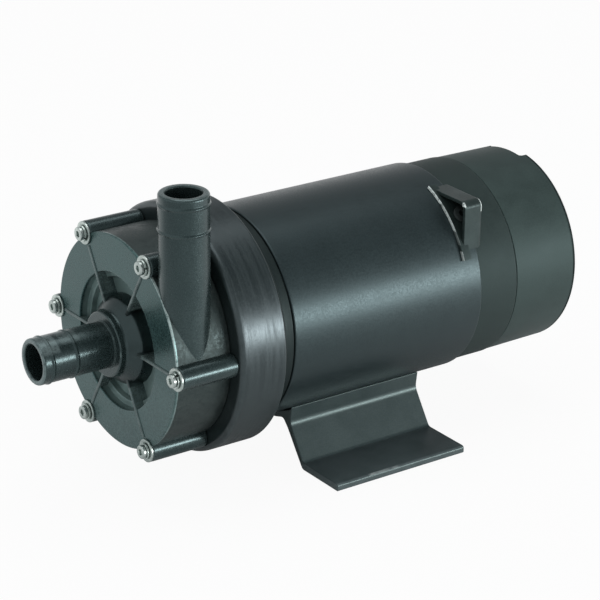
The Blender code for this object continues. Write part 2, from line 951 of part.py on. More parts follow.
def bearing(x0):
    """A sealed ball bearing: both rings and the seals as they look from outside."""
    x1 = x0 + bearingWidth
    inset = 0.5 * mm
    return turned(
        [
            (x0, bearingBore),
            (x0, bearingBore + 2.2 * mm),
            (x0 + inset, bearingBore + 2.6 * mm),
            (x0 + inset, bearingRadius - 2.6 * mm),
            (x0, bearingRadius - 2.2 * mm),
            (x0, bearingRadius),
            (x1, bearingRadius),
            (x1, bearingRadius - 2.2 * mm),
            (x1 - inset, bearingRadius - 2.6 * mm),
            (x1 - inset, bearingBore + 2.6 * mm),
            (x1, bearingBore + 2.2 * mm),
            (x1, bearingBore),
        ],
        smallFacets,
    )


piece("front_bearing", bearing(frontBearingX), zincSteel)
piece("rear_bearing", bearing(rearBearingX), zincSteel)

waveX = rearBearingX + bearingWidth + 0.9 * mm
wavePoints = 18
waveSections = []
for i in range(wavePoints):
    angle = 360.0 * i / wavePoints
    swell = 0.45 * mm * math.sin(math.radians(3.0 * angle))
    row = []
    for along, r in ((-0.2, 12.4), (-0.2, 17.0), (0.2, 17.0), (0.2, 12.4)):
        y, z = around(r * mm, angle)
        row.append((waveX + swell + along * mm, y, z))
    waveSections.append(row)
wave = lofted(waveSections)
waveFaces = [f for f in wave[1][2:]]
for i in range(4):
    j = (i + 1) % 4
    last = (wavePoints - 1) * 4
    waveFaces.append([last + i, last + j, j, i])
piece("wave_washer", (wave[0], waveFaces), stainless)


# Cable hood data that the shell's cable hole shares

hoodX = rimX - hoodFront
hoodEnd = hoodX + hoodLength
cableAngle = 46.0
cableX = hoodX + 5.2 * mm
cableHole = 3.6 * mm
footX = shellX + footStart
footScrewXs = (footX + 14.0 * mm, footX + footLength - 14.0 * mm)
footScrewAngles = (256.0, 284.0)
footScrewRadius = 2.0 * mm


def radial(solid, x, angle):
    """Turns a solid drawn along X so that it points outwards from the shaft at an angle."""
    lean = Matrix.Rotation(math.radians(180.0 - angle), 4, "X") @ Matrix.Rotation(math.radians(90.0), 4, "Z")
    return moved(solid, Matrix.Translation((x, 0.0, 0.0)) @ lean)


shellCuts = [radial(rod(shellBore - 3.0 * mm, shellRadius + 3.0 * mm, cableHole), cableX, cableAngle)]
for x in footScrewXs:
    for angle in footScrewAngles:
        hole = screw_hole(shellBore - 3.0 * mm, shellRadius + 3.0 * mm, footScrewRadius)
        shellCuts.append(radial(hole, x, angle))
piece(
    "motor_shell",
    carve(tube(shellX, rimX, shellRadius, shellBore, visibleFacets, 0.5 * mm), cut(*shellCuts)),
    shellPaint,
)


# Stator, windings and rotor

statorX = shellX + statorStart
statorEnd = statorX + statorLength
statorBore = rotorRadius + airGap


def slotted(inner, outer, count, fraction):
    """Outline of a bore with slots, four points to each slot."""
    outline = []
    pitch = 360.0 / count
    for i in range(count):
        a = i * pitch
        half = pitch * fraction / 2
        outline.append(around(inner, a - half))
        outline.append(around(outer, a - half * 0.8))
        outline.append(around(outer, a + half * 0.8))
        outline.append(around(inner, a + half))
    return outline


outerOutline = []
for i in range(slotCount):
    middle = 360.0 * i / slotCount
    for shift in (-11.25, -3.75, 3.75, 11.25):
        outerOutline.append(around(shellBore - seat, middle + shift))
piece(
    "stator_core",
    ring_prism(outerOutline, slotted(statorBore, shellBore - 11.5 * mm, slotCount, 0.42), statorX, statorEnd),
    coreSteel,
)


def winding(x0, x1):
    """One coil end: a rounded ring with a lump over each slot."""
    sections = []
    steps = slotCount * 2
    for i in range(steps):
        angle = 360.0 * i / steps
        swell = 1.0 + 0.10 * math.cos(math.radians(slotCount * angle))
        inner = rotorRadius + 2.6 * mm
        outer = (shellBore - 10.0 * mm) * (1.0 + 0.02 * math.cos(math.radians(slotCount * angle)))
        far = x0 + (x1 - x0) * swell / 1.1
        soft = 3.0 * mm
        lean = soft if x1 > x0 else -soft
        row = []
        for x, r in (
            (x0, inner),
            (x0, outer),
            (far - lean, outer),
            (far, outer - soft),
            (far, inner + soft),
            (far - lean, inner),
        ):
            y, z = around(r, angle)
            row.append((x, y, z))
        sections.append(row)
    points, faces = lofted(sections)
    faces = faces[2:]
    last = (steps - 1) * 6
    for i in range(6):
        j = (i + 1) % 6
        faces.append([last + i, last + j, j, i])
    return points, faces


piece("front_winding", winding(statorX - seat, statorX - seat - windingReach), copperWire)
piece("rear_winding", winding(statorEnd + seat, statorEnd + seat + windingReach), copperWire)

rotorRing = rotorRadius - 5.5 * mm
ringBore = (shaftRadius + rotorRing) / 2
piece(
    "rotor_core",
    turned(
        [
            (statorX, shaftRadius + seat),
            (statorX, ringBore - 0.5 * mm),
            (statorX - 6.0 * mm, ringBore + 0.5 * mm),
            (statorX - 6.0 * mm, rotorRing),
            (statorX, rotorRing + 1.0 * mm),
            (statorX, rotorRadius),
            (statorEnd, rotorRadius),
            (statorEnd, rotorRing + 1.0 * mm),
            (statorEnd + 6.0 * mm, rotorRing),
            (statorEnd + 6.0 * mm, ringBore + 0.5 * mm),
            (statorEnd, ringBore - 0.5 * mm),
            (statorEnd, shaftRadius + seat),
        ],
        smallFacets,
    ),
    coreSteel,
)

shaftStart = yokePlateX + seat
fanX = seamX + 7.0 * mm
fanEnd = fanX + fanDepth
shaftEnd = fanEnd + 2.0 * mm
piece(
    "motor_shaft",
    turned(
        [
            (shaftStart, 0.0),
            (shaftStart, shaftNose - 0.6 * mm),
            (shaftStart + 0.6 * mm, shaftNose),
            (yokeHubEnd + seat, shaftNose),
            (yokeHubEnd + seat, shaftRadius),
            (frontBearingX + bearingWidth + seat, shaftRadius),
            (frontBearingX + bearingWidth + seat, shaftRadius + 1.6 * mm),
            (statorX - 8.0 * mm, shaftRadius + 1.6 * mm),
            (statorX - 8.0 * mm, shaftRadius),
            (rearBearingX + bearingWidth + 4.0 * mm, shaftRadius),
            (rearBearingX + bearingWidth + 4.0 * mm, shaftNose),
            (shaftEnd - 0.6 * mm, shaftNose),
            (shaftEnd, shaftNose - 0.6 * mm),
            (shaftEnd, 0.0),
        ],
        smallFacets,
    ),
    zincSteel,
)


# Rear shield, whose plastic rim shows between the shell and the fan cover

coverScrewAngles = (90.0, 210.0, 330.0)
coverScrewCircle = coverRearRadius - 7.5 * mm
coverScrewRadius = 2.0 * mm
coverBoss = 4.3 * mm
fanRadius = coverScrewCircle - coverBoss - fanGap


def rear_shield_solid():
    body = turned(
        [
            (rimX - shieldSpigot, spigotRadius - 3.0 * mm),
            (rimX - shieldSpigot, spigotRadius),
            (rimX + seat, spigotRadius),
            (rimX + seat, rimRadius),
            (seamX - 0.8 * mm, rimRadius),
            (seamX - seat, rimRadius - 0.5 * mm),
            (seamX - seat, rimRadius - 3.2 * mm),
            (rearBearingX + bearingWidth + 6.0 * mm, rimRadius - 3.6 * mm),
            (rearBearingX + bearingWidth + 6.0 * mm, shaftRadius + 1.2 * mm),
            (waveX + 1.2 * mm, shaftRadius + 1.2 * mm),
            (waveX + 1.2 * mm, bearingSeat),
            (rearBearingX - 1.0 * mm, bearingSeat),
            (rearBearingX - 1.0 * mm, bearingSeat + hubWall),
            (waveX + 1.2 * mm, bearingSeat + hubWall + 1.0 * mm),
            (waveX + 1.2 * mm, spigotRadius - 4.0 * mm),
        ],
        shieldFacets,
    )
    steps = []
    for angle in coverScrewAngles:
        at = around(coverScrewCircle, angle)
        steps += cut(screw_hole(seamX - 14.0 * mm, seamX + 1.0 * mm, coverScrewRadius, at))
    return carve(body, steps)


piece("rear_shield", rear_shield_solid(), rearPlastic)


# Cooling fan


def fan_solid():
    bore = shaftNose + seat
    body = turned(
        [
            (fanX, bore),
            (fanX, bore + 6.0 * mm),
            (fanX + 3.0 * mm, bore + 7.0 * mm),
            (fanX + 3.0 * mm, fanRadius - 6.0 * mm),
            (fanX + 5.0 * mm, fanRadius - 6.0 * mm),
            (fanX + 5.0 * mm, bore + 7.0 * mm),
            (fanEnd - 2.0 * mm, bore + 5.0 * mm),
            (fanEnd - 2.0 * mm, bore),
        ],
        smallFacets,
    )
    steps = []
    for i in range(fanBlades):
        blade = block(
            fanX + 4.0 * mm,
            fanEnd,
            bore + 9.0 * mm,
            fanRadius,
            -0.9 * mm,
            0.9 * mm,
        )
        turn = Matrix.Rotation(math.radians(360.0 * i / fanBlades), 4, "X")
        steps += add(moved(blade, turn))
    return carve(body, steps)


piece("cooling_fan", fan_solid(), innerPlastic)


# Fan cover with air slots in its end wall and the notch in its rear rim

endWall = 2.6 * mm
slotInner = 14.0 * mm
slotOuter = fanRadius - 2.0 * mm
slotWidth = 4.4 * mm
airSlots = 10
notchDepth = 5.2 * mm
notchStart = 80.0
notchEnd = 113.0
rimSkirt = 6.0 * mm  # the end wall lies this far inside the rim


def rear_cover_solid():
    wallX1 = rearX - rimSkirt
    wallX0 = wallX1 - endWall
    body = turned(
        [
            (seamX, coverRadius - coverWall),
            (seamX, coverRadius - 0.5 * mm),
            (seamX + 0.5 * mm, coverRadius),
            (rearX - 0.6 * mm, coverRearRadius),
            (rearX, coverRearRadius - 0.6 * mm),
            (rearX, coverRearRadius - coverWall),
            (wallX1, coverRearRadius - coverWall - 0.6 * mm),
            (wallX1, 0.0),
            (wallX0, 0.0),
            (wallX0, coverRearRadius - coverWall - 0.6 * mm),
        ],
        visibleFacets,
    )
    steps = []
    for angle in coverScrewAngles:
        at = around(coverScrewCircle, angle)
        steps += add(rod(seamX + 1.0 * mm, wallX1 - 0.5 * mm, coverBoss, 8, at))
    for angle in coverScrewAngles:
        at = around(coverScrewCircle, angle)
        steps += cut(screw_hole(seamX - 1.0 * mm, wallX1 + 1.0 * mm, coverScrewRadius, at))
    for i in range(airSlots):
        slot = block(
            wallX0 - 1.0 * mm,
            wallX1 + 1.0 * mm,
            slotInner,
            slotOuter,
            -slotWidth / 2,
            slotWidth / 2,
        )
        turn = Matrix.Rotation(math.radians(360.0 * (i + 0.5) / airSlots), 4, "X")
        steps += cut(moved(slot, turn))
    notch = turned(
        [
            (rearX - notchDepth, coverRearRadius - coverWall - 2.0 * mm),
            (rearX - notchDepth, coverRadius + 2.0 * mm),
            (rearX + 1.0 * mm, coverRadius + 2.0 * mm),
            (rearX + 1.0 * mm, coverRearRadius - coverWall - 2.0 * mm),
        ],
        4,
        notchEnd - notchStart,
        notchStart,
    )
    steps += cut(notch)
    return carve(body, steps)


piece("rear_cover", rear_cover_solid(), rearPlastic)

coverHeadX = rearX - rimSkirt + seat
coverScrewGrip = 9.0 * mm  # thread in the rear shield
firstCover = None
for number, angle in enumerate(coverScrewAngles, 1):
    y, z = around(coverScrewCircle, angle)
    if firstCover is None:
        screw = screw_blank(3.6 * mm, 2.4 * mm, coverScrewRadius, coverHeadX - seamX + coverScrewGrip, tinyFacets)
        firstCover = piece(
            "rear_cover_screw_1",
            moved(
                screw,
                Matrix.Translation((coverHeadX, y, z)) @ Matrix.Rotation(math.radians(180.0), 4, "Z"),
            ),
            zincSteel,
            (coverHeadX, y, z),
        )
        continue
    copy_piece(firstCover, f"rear_cover_screw_{number}", (coverHeadX, y, z))


# Cable hood on the shell, with the grommet in the shell's cable hole


def hood_outline(base, inset):
    """Section of the hood: the shell's curve below, a level top and an upright side."""
    top = hoodTop - inset
    side = hoodSide - inset
    low = math.degrees(math.acos(side / base))
    high = math.degrees(math.asin(top / base))
    outline = []
    for i in range(6):
        outline.append(around(base, low + (high - low) * i / 5))
    corner = hoodCorner - 0.5 * inset
    for i in range(4):
        a = math.radians(90.0 * i / 3)
        outline.append((-side + corner - corner * math.sin(a), top - corner + corner * math.cos(a)))
    return outline


def hood_solid():
    base = shellRadius + seat
    plate = 1.5 * mm
    sections = []
    for x, inset in (
        (hoodX, 0.0),
        (hoodEnd - 2.6 * mm, 0.0),
        (hoodEnd - 1.1 * mm, 0.5 * mm),
        (hoodEnd - 0.3 * mm, 1.3 * mm),
        (hoodEnd, 2.4 * mm),
    ):
        sections.append([(x, y, z) for y, z in hood_outline(base, inset)])
    shell = lofted(sections)
    hollow = prism(hood_outline(base + plate, hoodWall), hoodX - 1.0 * mm, hoodEnd - hoodWall)
    lip = turned(
        [
            (hoodX - hoodLip, base),
            (hoodX - hoodLip, base + plate - 0.3 * mm),
            (hoodX - hoodLip + 0.3 * mm, base + plate),
            (hoodX + 3.0 * mm, base + plate),
            (hoodX + 3.0 * mm, base),
        ],
        7,
        46.0,
        22.0,
    )
    hole = radial(rod(base - 2.0 * mm, base + plate + 2.0 * mm, cableHole), cableX, cableAngle)
    return carve(shell, cut(hollow) + add(lip) + cut(hole))


piece("cable_hood", hood_solid(), rearPlastic)

grommetTop = shellRadius + seat + 1.5 * mm + seat
piece(
    "cable_grommet",
    radial(
        turned(
            [
                (shellBore + seat, 1.8 * mm),
                (shellBore + seat, cableHole - seat),
                (grommetTop, cableHole - seat),
                (grommetTop, cableHole + 1.2 * mm),
                (grommetTop + 1.4 * mm, cableHole + 0.9 * mm),
                (grommetTop + 1.8 * mm, 1.8 * mm),
            ],
            tinyFacets,
        ),
        cableX,
        cableAngle,
    ),
    rubber,
)


# Foot: saddle, webs and flanges in one moulded section


def foot_outline():
    base = -shaftHeight
    top = base + footThickness
    saddle = shellRadius + seat
    under = saddle + saddleThickness
    edge = 0.8 * mm
    wide = footHalfWidth
    neck = -math.sqrt(saddle**2 - saddleHalfWidth**2)
    right = [
        (saddleHalfWidth, neck),
        (saddleHalfWidth - 0.6 * mm, neck - 3.0 * mm),
        (saddleHalfWidth - 1.1 * mm, neck - 6.5 * mm),
        (saddleHalfWidth - 1.2 * mm, neck - 9.0 * mm),
        (saddleHalfWidth - 0.6 * mm, neck - 10.8 * mm),
        (saddleHalfWidth + 0.6 * mm, neck - 12.8 * mm),
        (41.2 * mm, top + 2.6 * mm),
        (43.0 * mm, top + 0.8 * mm),
        (45.2 * mm, top),
        (wide - 1.6 * mm, top),
        (wide - 0.5 * mm, top - 0.5 * mm),
        (wide, top - 1.6 * mm),
        (wide, base + edge),
        (wide - edge, base),
        (42.0 * mm, base),
        (38.4 * mm, base + 3.0 * mm),
        (saddleHalfWidth - 3.0 * mm, neck - 14.0 * mm),
        (saddleHalfWidth - 5.2 * mm, neck - 10.8 * mm),
        (saddleHalfWidth - 7.6 * mm, neck - 9.0 * mm),
    ]
    arc = []
    for angle in (20.0, 13.0, 6.0):
        y, z = around(under, 270.0 + angle)
        arc.append((abs(y), z))
    lower = right + arc
    outline = [(-y, z) for y, z in lower]
    outline += [(0.0, -under)]
    outline += [(y, z) for y, z in reversed(lower)]
    span = math.degrees(math.asin(saddleHalfWidth / saddle))
    for i in range(1, 12):
        y, z = around(saddle, 270.0 - span + 2 * span * i / 12)
        outline.append((y, z))
    return outline


footCuts = []
for x in footScrewXs:
    for angle in footScrewAngles:
        hole = screw_hole(shellRadius - 1.0 * mm, shellRadius + 12.0 * mm, footScrewRadius)
        footCuts.append(radial(hole, x, angle))
piece("foot", carve(prism(foot_outline(), footX, footX + footLength), cut(*footCuts)), rearPlastic)

footScrewHead = shellRadius + seat + saddleThickness + 2 * seat + 0.1 * mm
footScrewTip = shellBore + seat
screw = screw_blank(3.6 * mm, 2.4 * mm, footScrewRadius, footScrewHead - footScrewTip, tinyFacets)
turnedScrew = moved(screw, Matrix.Rotation(math.radians(180.0), 4, "Z"))
number = 0
for x in footScrewXs:
    for angle in footScrewAngles:
        number += 1
        y, z = around(footScrewHead, angle)
        placed = radial(moved(turnedScrew, Matrix.Translation((footScrewHead, 0.0, 0.0))), x, angle)
        piece(f"foot_screw_{number}", placed, zincSteel, (x, y, z))
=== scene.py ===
import math

import bmesh
import bpy
from mathutils import Matrix, Vector


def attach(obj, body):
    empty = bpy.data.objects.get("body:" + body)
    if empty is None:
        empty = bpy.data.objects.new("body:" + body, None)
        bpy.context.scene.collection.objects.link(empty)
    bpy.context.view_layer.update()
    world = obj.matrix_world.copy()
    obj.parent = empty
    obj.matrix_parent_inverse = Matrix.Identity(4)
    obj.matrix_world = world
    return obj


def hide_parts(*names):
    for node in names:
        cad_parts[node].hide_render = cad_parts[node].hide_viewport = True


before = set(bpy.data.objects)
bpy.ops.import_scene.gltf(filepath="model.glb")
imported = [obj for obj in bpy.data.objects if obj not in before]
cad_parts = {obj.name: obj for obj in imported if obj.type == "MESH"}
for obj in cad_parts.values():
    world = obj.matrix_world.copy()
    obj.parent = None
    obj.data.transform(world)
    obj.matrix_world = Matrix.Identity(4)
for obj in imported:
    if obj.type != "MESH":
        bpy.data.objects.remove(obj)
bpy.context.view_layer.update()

print("stage: frame loaded,", len(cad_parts), "nodes")

# pieces are drawn in millimetres from the shaft line; a mesh and a shader are in metres
metre = 0.001
shaftHeight = 82.0
scene = bpy.context.scene

# shared stations along the shaft, from the suction nozzle to the fan cover
station = {
    "tip": -158.1,
    "collar": -116.6,
    "face": -108.5,
    "casingEnd": -75.6,
    "bracket": -75.3,
    "bracketEnd": -47.4,
    "shield": -47.1,
    "shell": -35.3,
    "rim": 88.8,
    "seam": 115.4,
    "rear": 158.1,
}
boltCircle = 59.0
boltAngles = [0, 60, 120, 180, 240, 300]


# mesh tools: a solid is a list of points and a list of faces

def around(radius, degrees):
    angle = math.radians(degrees)
    return -radius * math.cos(angle), radius * math.sin(angle)


# moves an outline that is written as distances from a station to that station
def fromStation(start, corners):
    return [(start + corner[0], *corner[1:]) for corner in corners]


# rounds the corners of an outline; each corner is (a, b) or (a, b, radius)
def softened(corners, steps=4, closed=True):
    straight = math.pi - 0.03
    points = []
    count = len(corners)
    for i, corner in enumerate(corners):
        here = Vector(corner[:2])
        radius = corner[2] if len(corner) > 2 else 0.0
        toLast = Vector(corners[i - 1][:2]) - here
        toNext = Vector(corners[(i + 1) % count][:2]) - here
        isEnd = not closed and i in (0, count - 1)
        if radius <= 0.0 or isEnd or toLast.angle(toNext) > straight:
            points.append(here)
            continue
        angle = toLast.angle(toNext)
        reach = min(radius / math.tan(angle / 2), 0.48 * toLast.length, 0.48 * toNext.length)
        realRadius = reach * math.tan(angle / 2)
        middle = (toLast.normalized() + toNext.normalized()).normalized()
        centre = here + middle * (realRadius / math.sin(angle / 2))
        first = here + toLast.normalized() * reach - centre
        last = here + toNext.normalized() * reach - centre
        swing = math.pi - angle
        for k in range(steps + 1):
            t = k / steps
            share = math.sin((1 - t) * swing), math.sin(t * swing)
            points.append(centre + (first * share[0] + last * share[1]) / math.sin(swing))
    return [(p[0], p[1]) for p in points]


# adds points close to the ends of long straight runs, so that edge wear stays at the edge
def supported(outline):
    longRun, margin = 3.0, 0.7
    points = []
    for i, here in enumerate(outline):
        after = outline[(i + 1) % len(outline)]
        length = math.dist(here, after)
        points.append(here)
        if length > longRun:
            for t in (margin / length, 1.0 - margin / length):
                points.append((here[0] + (after[0] - here[0]) * t, here[1] + (after[1] - here[1]) * t))
    return points


# turns an outline of (x, radius) round the shaft line
def spun(profile, segments=128, sweep=360.0, start=0.0):
    profile = supported(profile)
    whole = sweep >= 360.0
    columns = segments if whole else segments + 1
    points, faces, rows = [], [], []
    for x, r in profile:
        if r <= 1e-6:
            points.append(Vector((x, 0, 0)))
            rows.append([len(points) - 1] * columns)
            continue
        rows.append([len(points) + i for i in range(columns)])
        points += [Vector((x, *around(r, start + sweep * i / segments))) for i in range(columns)]
    for k in range(len(profile)):
        near, far = rows[k], rows[(k + 1) % len(profile)]
        if near[0] == near[-1] and far[0] == far[-1]:
            continue
        for i in range(segments):
            j = (i + 1) % columns
            faces.append(list(dict.fromkeys((near[i], near[j], far[j], far[i]))))
    if not whole:
        faces.append([row[0] for row in rows])
        faces.append([row[-1] for row in rows][::-1])
    return points, faces


# rounds an outline of (x, radius) and turns it round the shaft line
def turned(corners, steps, segments, closed=True):
    return spun(softened(corners, steps, closed), segments)


# joins rings of equal point counts and closes both ends
def lofted(rings):
    count = len(rings[0])
    points = [Vector(p) for ring in rings for p in ring]
    faces = [list(range(count)), [len(points) - 1 - i for i in range(count)]]
    for k in range(len(rings) - 1):
        a, b = k * count, (k + 1) * count
        for i in range(count):
            j = (i + 1) % count
            faces.append([a + i, a + j, b + j, b + i])
    return points, faces


def movedBy(solid, matrix):
    return [matrix @ p for p in solid[0]], solid[1]


def shifted(solid, x=0.0, y=0.0, z=0.0):
    return movedBy(solid, Matrix.Translation((x, y, z)))


def turn(degrees, axis="X"):
    return Matrix.Rotation(math.radians(degrees), 4, axis)


def rolled(solid, degrees):
    return movedBy(solid, turn(degrees))


def copiesAround(solid, circle, angles):
    return [shifted(solid, 0, *around(circle, angle)) for angle in angles]


# lays a (y, z) outline at a station
def ringAt(x, outline):
    return [(x, y, z) for y, z in outline]


# shrinks a closed (y, z) outline by a small distance
def insetBy(outline, distance):
    sharpest = 0.4
    following = outline[1:] + outline[:1]
    area = sum(a[0] * b[1] - b[0] * a[1] for a, b in zip(outline, following))
    side = 1.0 if area > 0 else -1.0
    result = []
    for i, after in enumerate(following):
        here = Vector(outline[i])
        back = (here - Vector(outline[i - 1])).normalized()
        ahead = (Vector(after) - here).normalized()
        normalBack = Vector((-back[1], back[0])) * side
        normalAhead = Vector((-ahead[1], ahead[0])) * side
        lean = (normalBack + normalAhead).normalized()
        result.append(tuple(here + lean * (distance / max(sharpest, lean.dot(normalAhead)))))
    return result


# draws a (y, z) outline out along the shaft with rounded ends
def drawnOut(outline, x0, x1, edge, steps=3):
    rings = []
    for k in range(steps + 1):
        a = math.radians(90.0 * k / steps)
        rings.append((x0 + edge * (1 - math.cos(a)), edge * (1 - math.sin(a))))
    rings += [(x0 + x1 - x, inset) for x, inset in reversed(rings)]
    return lofted([ringAt(x, insetBy(outline, inset)) for x, inset in rings])


def rectangle(y0, y1, z0, z1, radius, steps=3):
    return softened([(y0, z0, radius), (y1, z0, radius), (y1, z1, radius), (y0, z1, radius)], steps)


# a flat bar of one rounded section, seen along the radius, between two radii
def radialBar(half, x0, x1, radius, inner, outer):
    section = rectangle(-half, half, x0, x1, radius)
    return lofted([[(x, y, across) for across, x in section] for y in (inner, outer)])


def makeMesh(name, solids):
    work = bmesh.new()
    lift = Matrix.Translation((0, 0, shaftHeight * metre)) @ Matrix.Scale(metre, 4)
    for points, faces in solids:
        made = [work.verts.new(lift @ p) for p in points]
        for face in faces:
            work.faces.new([made[i] for i in face])
    bmesh.ops.recalc_face_normals(work, faces=work.faces)
    mesh = bpy.data.meshes.new(name)
    work.to_mesh(mesh)
    work.free()
    return mesh


# carves solids out of a mesh object, one after the other
def carve(item, cutters):
    for solid in cutters:
        tool = bpy.data.objects.new("cutter", makeMesh("cutter", [solid]))
        scene.collection.objects.link(tool)
        change = item.modifiers.new("carve", "BOOLEAN")
        change.operation = "DIFFERENCE"
        change.solver = "EXACT"
        change.object = tool
        graph = bpy.context.evaluated_depsgraph_get()
        item.data = bpy.data.meshes.new_from_object(item.evaluated_get(graph))
        item.modifiers.remove(change)
        bpy.data.objects.remove(tool, do_unlink=True)


def makePiece(name, solids, finish, nodes, cutters=(), body="housing", sharp=32.0):
    item = bpy.data.objects.new(name, makeMesh(name, solids))
    scene.collection.objects.link(item)
    carve(item, cutters)
    item.data.name = name
    item.data.materials.clear()
    item.data.materials.append(finishes[finish])
    item.data.shade_smooth()
    item.data.set_sharp_from_angle(angle=math.radians(sharp))
    weight = item.modifiers.new("normals", "WEIGHTED_NORMAL")
    weight.keep_sharp = True
    weight.weight = 60
    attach(item, body)
    if nodes:
        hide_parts(*nodes)


# shader tools

# sets a socket to a value, or links it where the value is another node's output
def feed(tree, socket, value):
    if isinstance(value, bpy.types.NodeSocket):
        tree.links.new(value, socket)
    elif socket.type == "RGBA":
        socket.default_value = (*value, 1.0)
    else:
        socket.default_value = value


def addNode(tree, kind, settings=None, sockets=None):
    made = tree.nodes.new(kind)
    for key, value in (settings or {}).items():
        setattr(made, key, value)
    for key, value in (sockets or {}).items():
        feed(tree, made.inputs[key], value)
    return made


def calculate(tree, operation, a, b=0.0, clamp=False):
    return addNode(tree, "ShaderNodeMath", {"operation": operation, "use_clamp": clamp}, {0: a, 1: b}).outputs[0]


def times(tree, a, b, clamp=False):
    return calculate(tree, "MULTIPLY", a, b, clamp)


def plus(tree, a, b, clamp=False):
    return calculate(tree, "ADD", a, b, clamp)


def between(tree, value, low, high, toLow=0.0, toHigh=1.0):
    sockets = {"Value": value, "From Min": low, "From Max": high, "To Min": toLow, "To Max": toHigh}
    return addNode(tree, "ShaderNodeMapRange", {"interpolation_type": "SMOOTHSTEP"}, sockets).outputs[0]


def mixColour(tree, factor, first, second):
    return addNode(tree, "ShaderNodeMix", {"data_type": "RGBA"}, {0: factor, 6: first, 7: second}).outputs[2]


def noise(tree, place, scale, detail, roughness=0.5, distortion=0.0):
    sockets = {"Vector": place, "Scale": scale, "Detail": detail, "Roughness": roughness, "Distortion": distortion}
    return addNode(tree, "ShaderNodeTexNoise", None, sockets).outputs["Fac"]


def objectPlace(tree):
    return addNode(tree, "ShaderNodeTexCoord").outputs["Object"]


def axesOf(tree, vector):
    return addNode(tree, "ShaderNodeSeparateXYZ", None, {0: vector}).outputs


# height above the shaft line
def heightOf(tree, axes):
    return calculate(tree, "SUBTRACT", axes["Z"], shaftHeight * metre)


def newGroup(name, inputs, outputs):
    group = bpy.data.node_groups.new(name, "ShaderNodeTree")
    for label, value in inputs.items():
        kind = "NodeSocketVector" if isinstance(value, tuple) else "NodeSocketFloat"
        group.interface.new_socket(name=label, in_out="INPUT", socket_type=kind).default_value = value
    for label in outputs:
        group.interface.new_socket(name=label, in_out="OUTPUT", socket_type="NodeSocketFloat")
    given = addNode(group, "NodeGroupInput").outputs
    return group, given, addNode(group, "NodeGroupOutput").inputs


def useGroup(tree, name, sockets):
    return addNode(tree, "ShaderNodeGroup", {"node_tree": bpy.data.node_groups[name]}, sockets).outputs


# a light line where an edge stands proud, broken up so that it isn't even
def buildEdgeWear():
    tree, given, result = newGroup("edgeWear", {"Amount": 0.5, "Reach": 0.06, "Patches": 90.0}, ["Mask"])
    flat = 0.505
    shape = addNode(tree, "ShaderNodeNewGeometry").outputs["Pointiness"]
    edge = between(tree, shape, flat, plus(tree, given["Reach"], flat))
    patches = noise(tree, objectPlace(tree), given["Patches"], 5.0, 0.65)
    strength = times(tree, edge, between(tree, patches, 0.35, 0.65, 0.35, 1.0))
    feed(tree, result["Mask"], times(tree, strength, given["Amount"], True))


# the slight orange peel and cloudiness of a moulded or sprayed skin
def buildSkinGrain():
    tree, given, result = newGroup(
        "skinGrain",
        {"Grain size": 1400.0, "Cloud size": 45.0, "Speck size": 900.0},
        ["Height", "Clouds", "Specks"],
    )
    place = objectPlace(tree)
    clouds = noise(tree, place, given["Cloud size"], 6.0, 0.62, 0.4)
    cells = addNode(tree, "ShaderNodeTexVoronoi", None, {"Vector": place, "Scale": given["Speck size"]})
    specks = between(tree, cells.outputs["Distance"], 0.06, 0.22, 1.0, 0.0)
    feed(tree, result["Height"], noise(tree, place, given["Grain size"], 3.0, 0.6))
    feed(tree, result["Clouds"], between(tree, clouds, 0.32, 0.68))
    feed(tree, result["Specks"], times(tree, specks, between(tree, clouds, 0.50, 0.62)))


# fine rings that turning or spraying on a spindle leaves round the shaft line
def buildTurnedLines():
    tree, given, result = newGroup("turnedLines", {"Lines": 1500.0, "Round": 6.0}, ["Height", "Streaks"])
    axes = axesOf(tree, objectPlace(tree))
    stretched = addNode(tree, "ShaderNodeCombineXYZ", None, {
        0: times(tree, axes["X"], given["Lines"]),
        1: times(tree, axes["Y"], given["Round"]),
        2: times(tree, heightOf(tree, axes), given["Round"]),
    }).outputs[0]
    feed(tree, result["Height"], noise(tree, stretched, 1.0, 4.0, 0.7))
    feed(tree, result["Streaks"], between(tree, noise(tree, stretched, 0.16, 3.0, 0.55), 0.36, 0.64))


# marks a band of distances from the shaft line, behind a station along it
def buildRingBand():
    tree, given, result = newGroup("ringBand", {"Inner": 0.02, "Outer": 0.04, "Behind": -1.0}, ["Mask"])
    soft = 0.0006
    axes = axesOf(tree, objectPlace(tree))
    height = heightOf(tree, axes)
    square = plus(tree, times(tree, height, height), times(tree, axes["Y"], axes["Y"]))
    distance = calculate(tree, "SQRT", square)
    mask = between(tree, distance, given["Inner"], plus(tree, given["Inner"], soft))
    mask = times(tree, mask, between(tree, distance, given["Outer"], plus(tree, given["Outer"], soft), 1.0, 0.0))
    mask = times(tree, mask, between(tree, axes["X"], given["Behind"], plus(tree, given["Behind"], soft)))
    feed(tree, result["Mask"], mask)


# marks a box in space, for a place worn by hands or tools and for a painted highlight
def buildWearAndHighlightBox():
    tree, given, result = newGroup("wearAndHighlightBox", {"Middle": (0.0, 0.0, 0.0), "Half": (1.0, 1.0, 1.0)}, ["Mask"])
    place = away = objectPlace(tree)
    for operation, sockets in (("SUBTRACT", {1: given["Middle"]}), ("DIVIDE", {1: given["Half"]}), ("ABSOLUTE", {})):
        away = addNode(tree, "ShaderNodeVectorMath", {"operation": operation}, {0: away, **sockets}).outputs[0]
    axes = axesOf(tree, away)
    most = calculate(tree, "MAXIMUM", calculate(tree, "MAXIMUM", axes["X"], axes["Y"]), axes["Z"])
    patches = between(tree, noise(tree, place, 500.0, 4.0, 0.6), 0.30, 0.50, 0.2, 1.0)
    feed(tree, result["Mask"], times(tree, between(tree, most, 1.0, 0.75), patches))


for buildGroup in (buildEdgeWear, buildSkinGrain, buildTurnedLines, buildRingBand, buildWearAndHighlightBox):
    buildGroup()


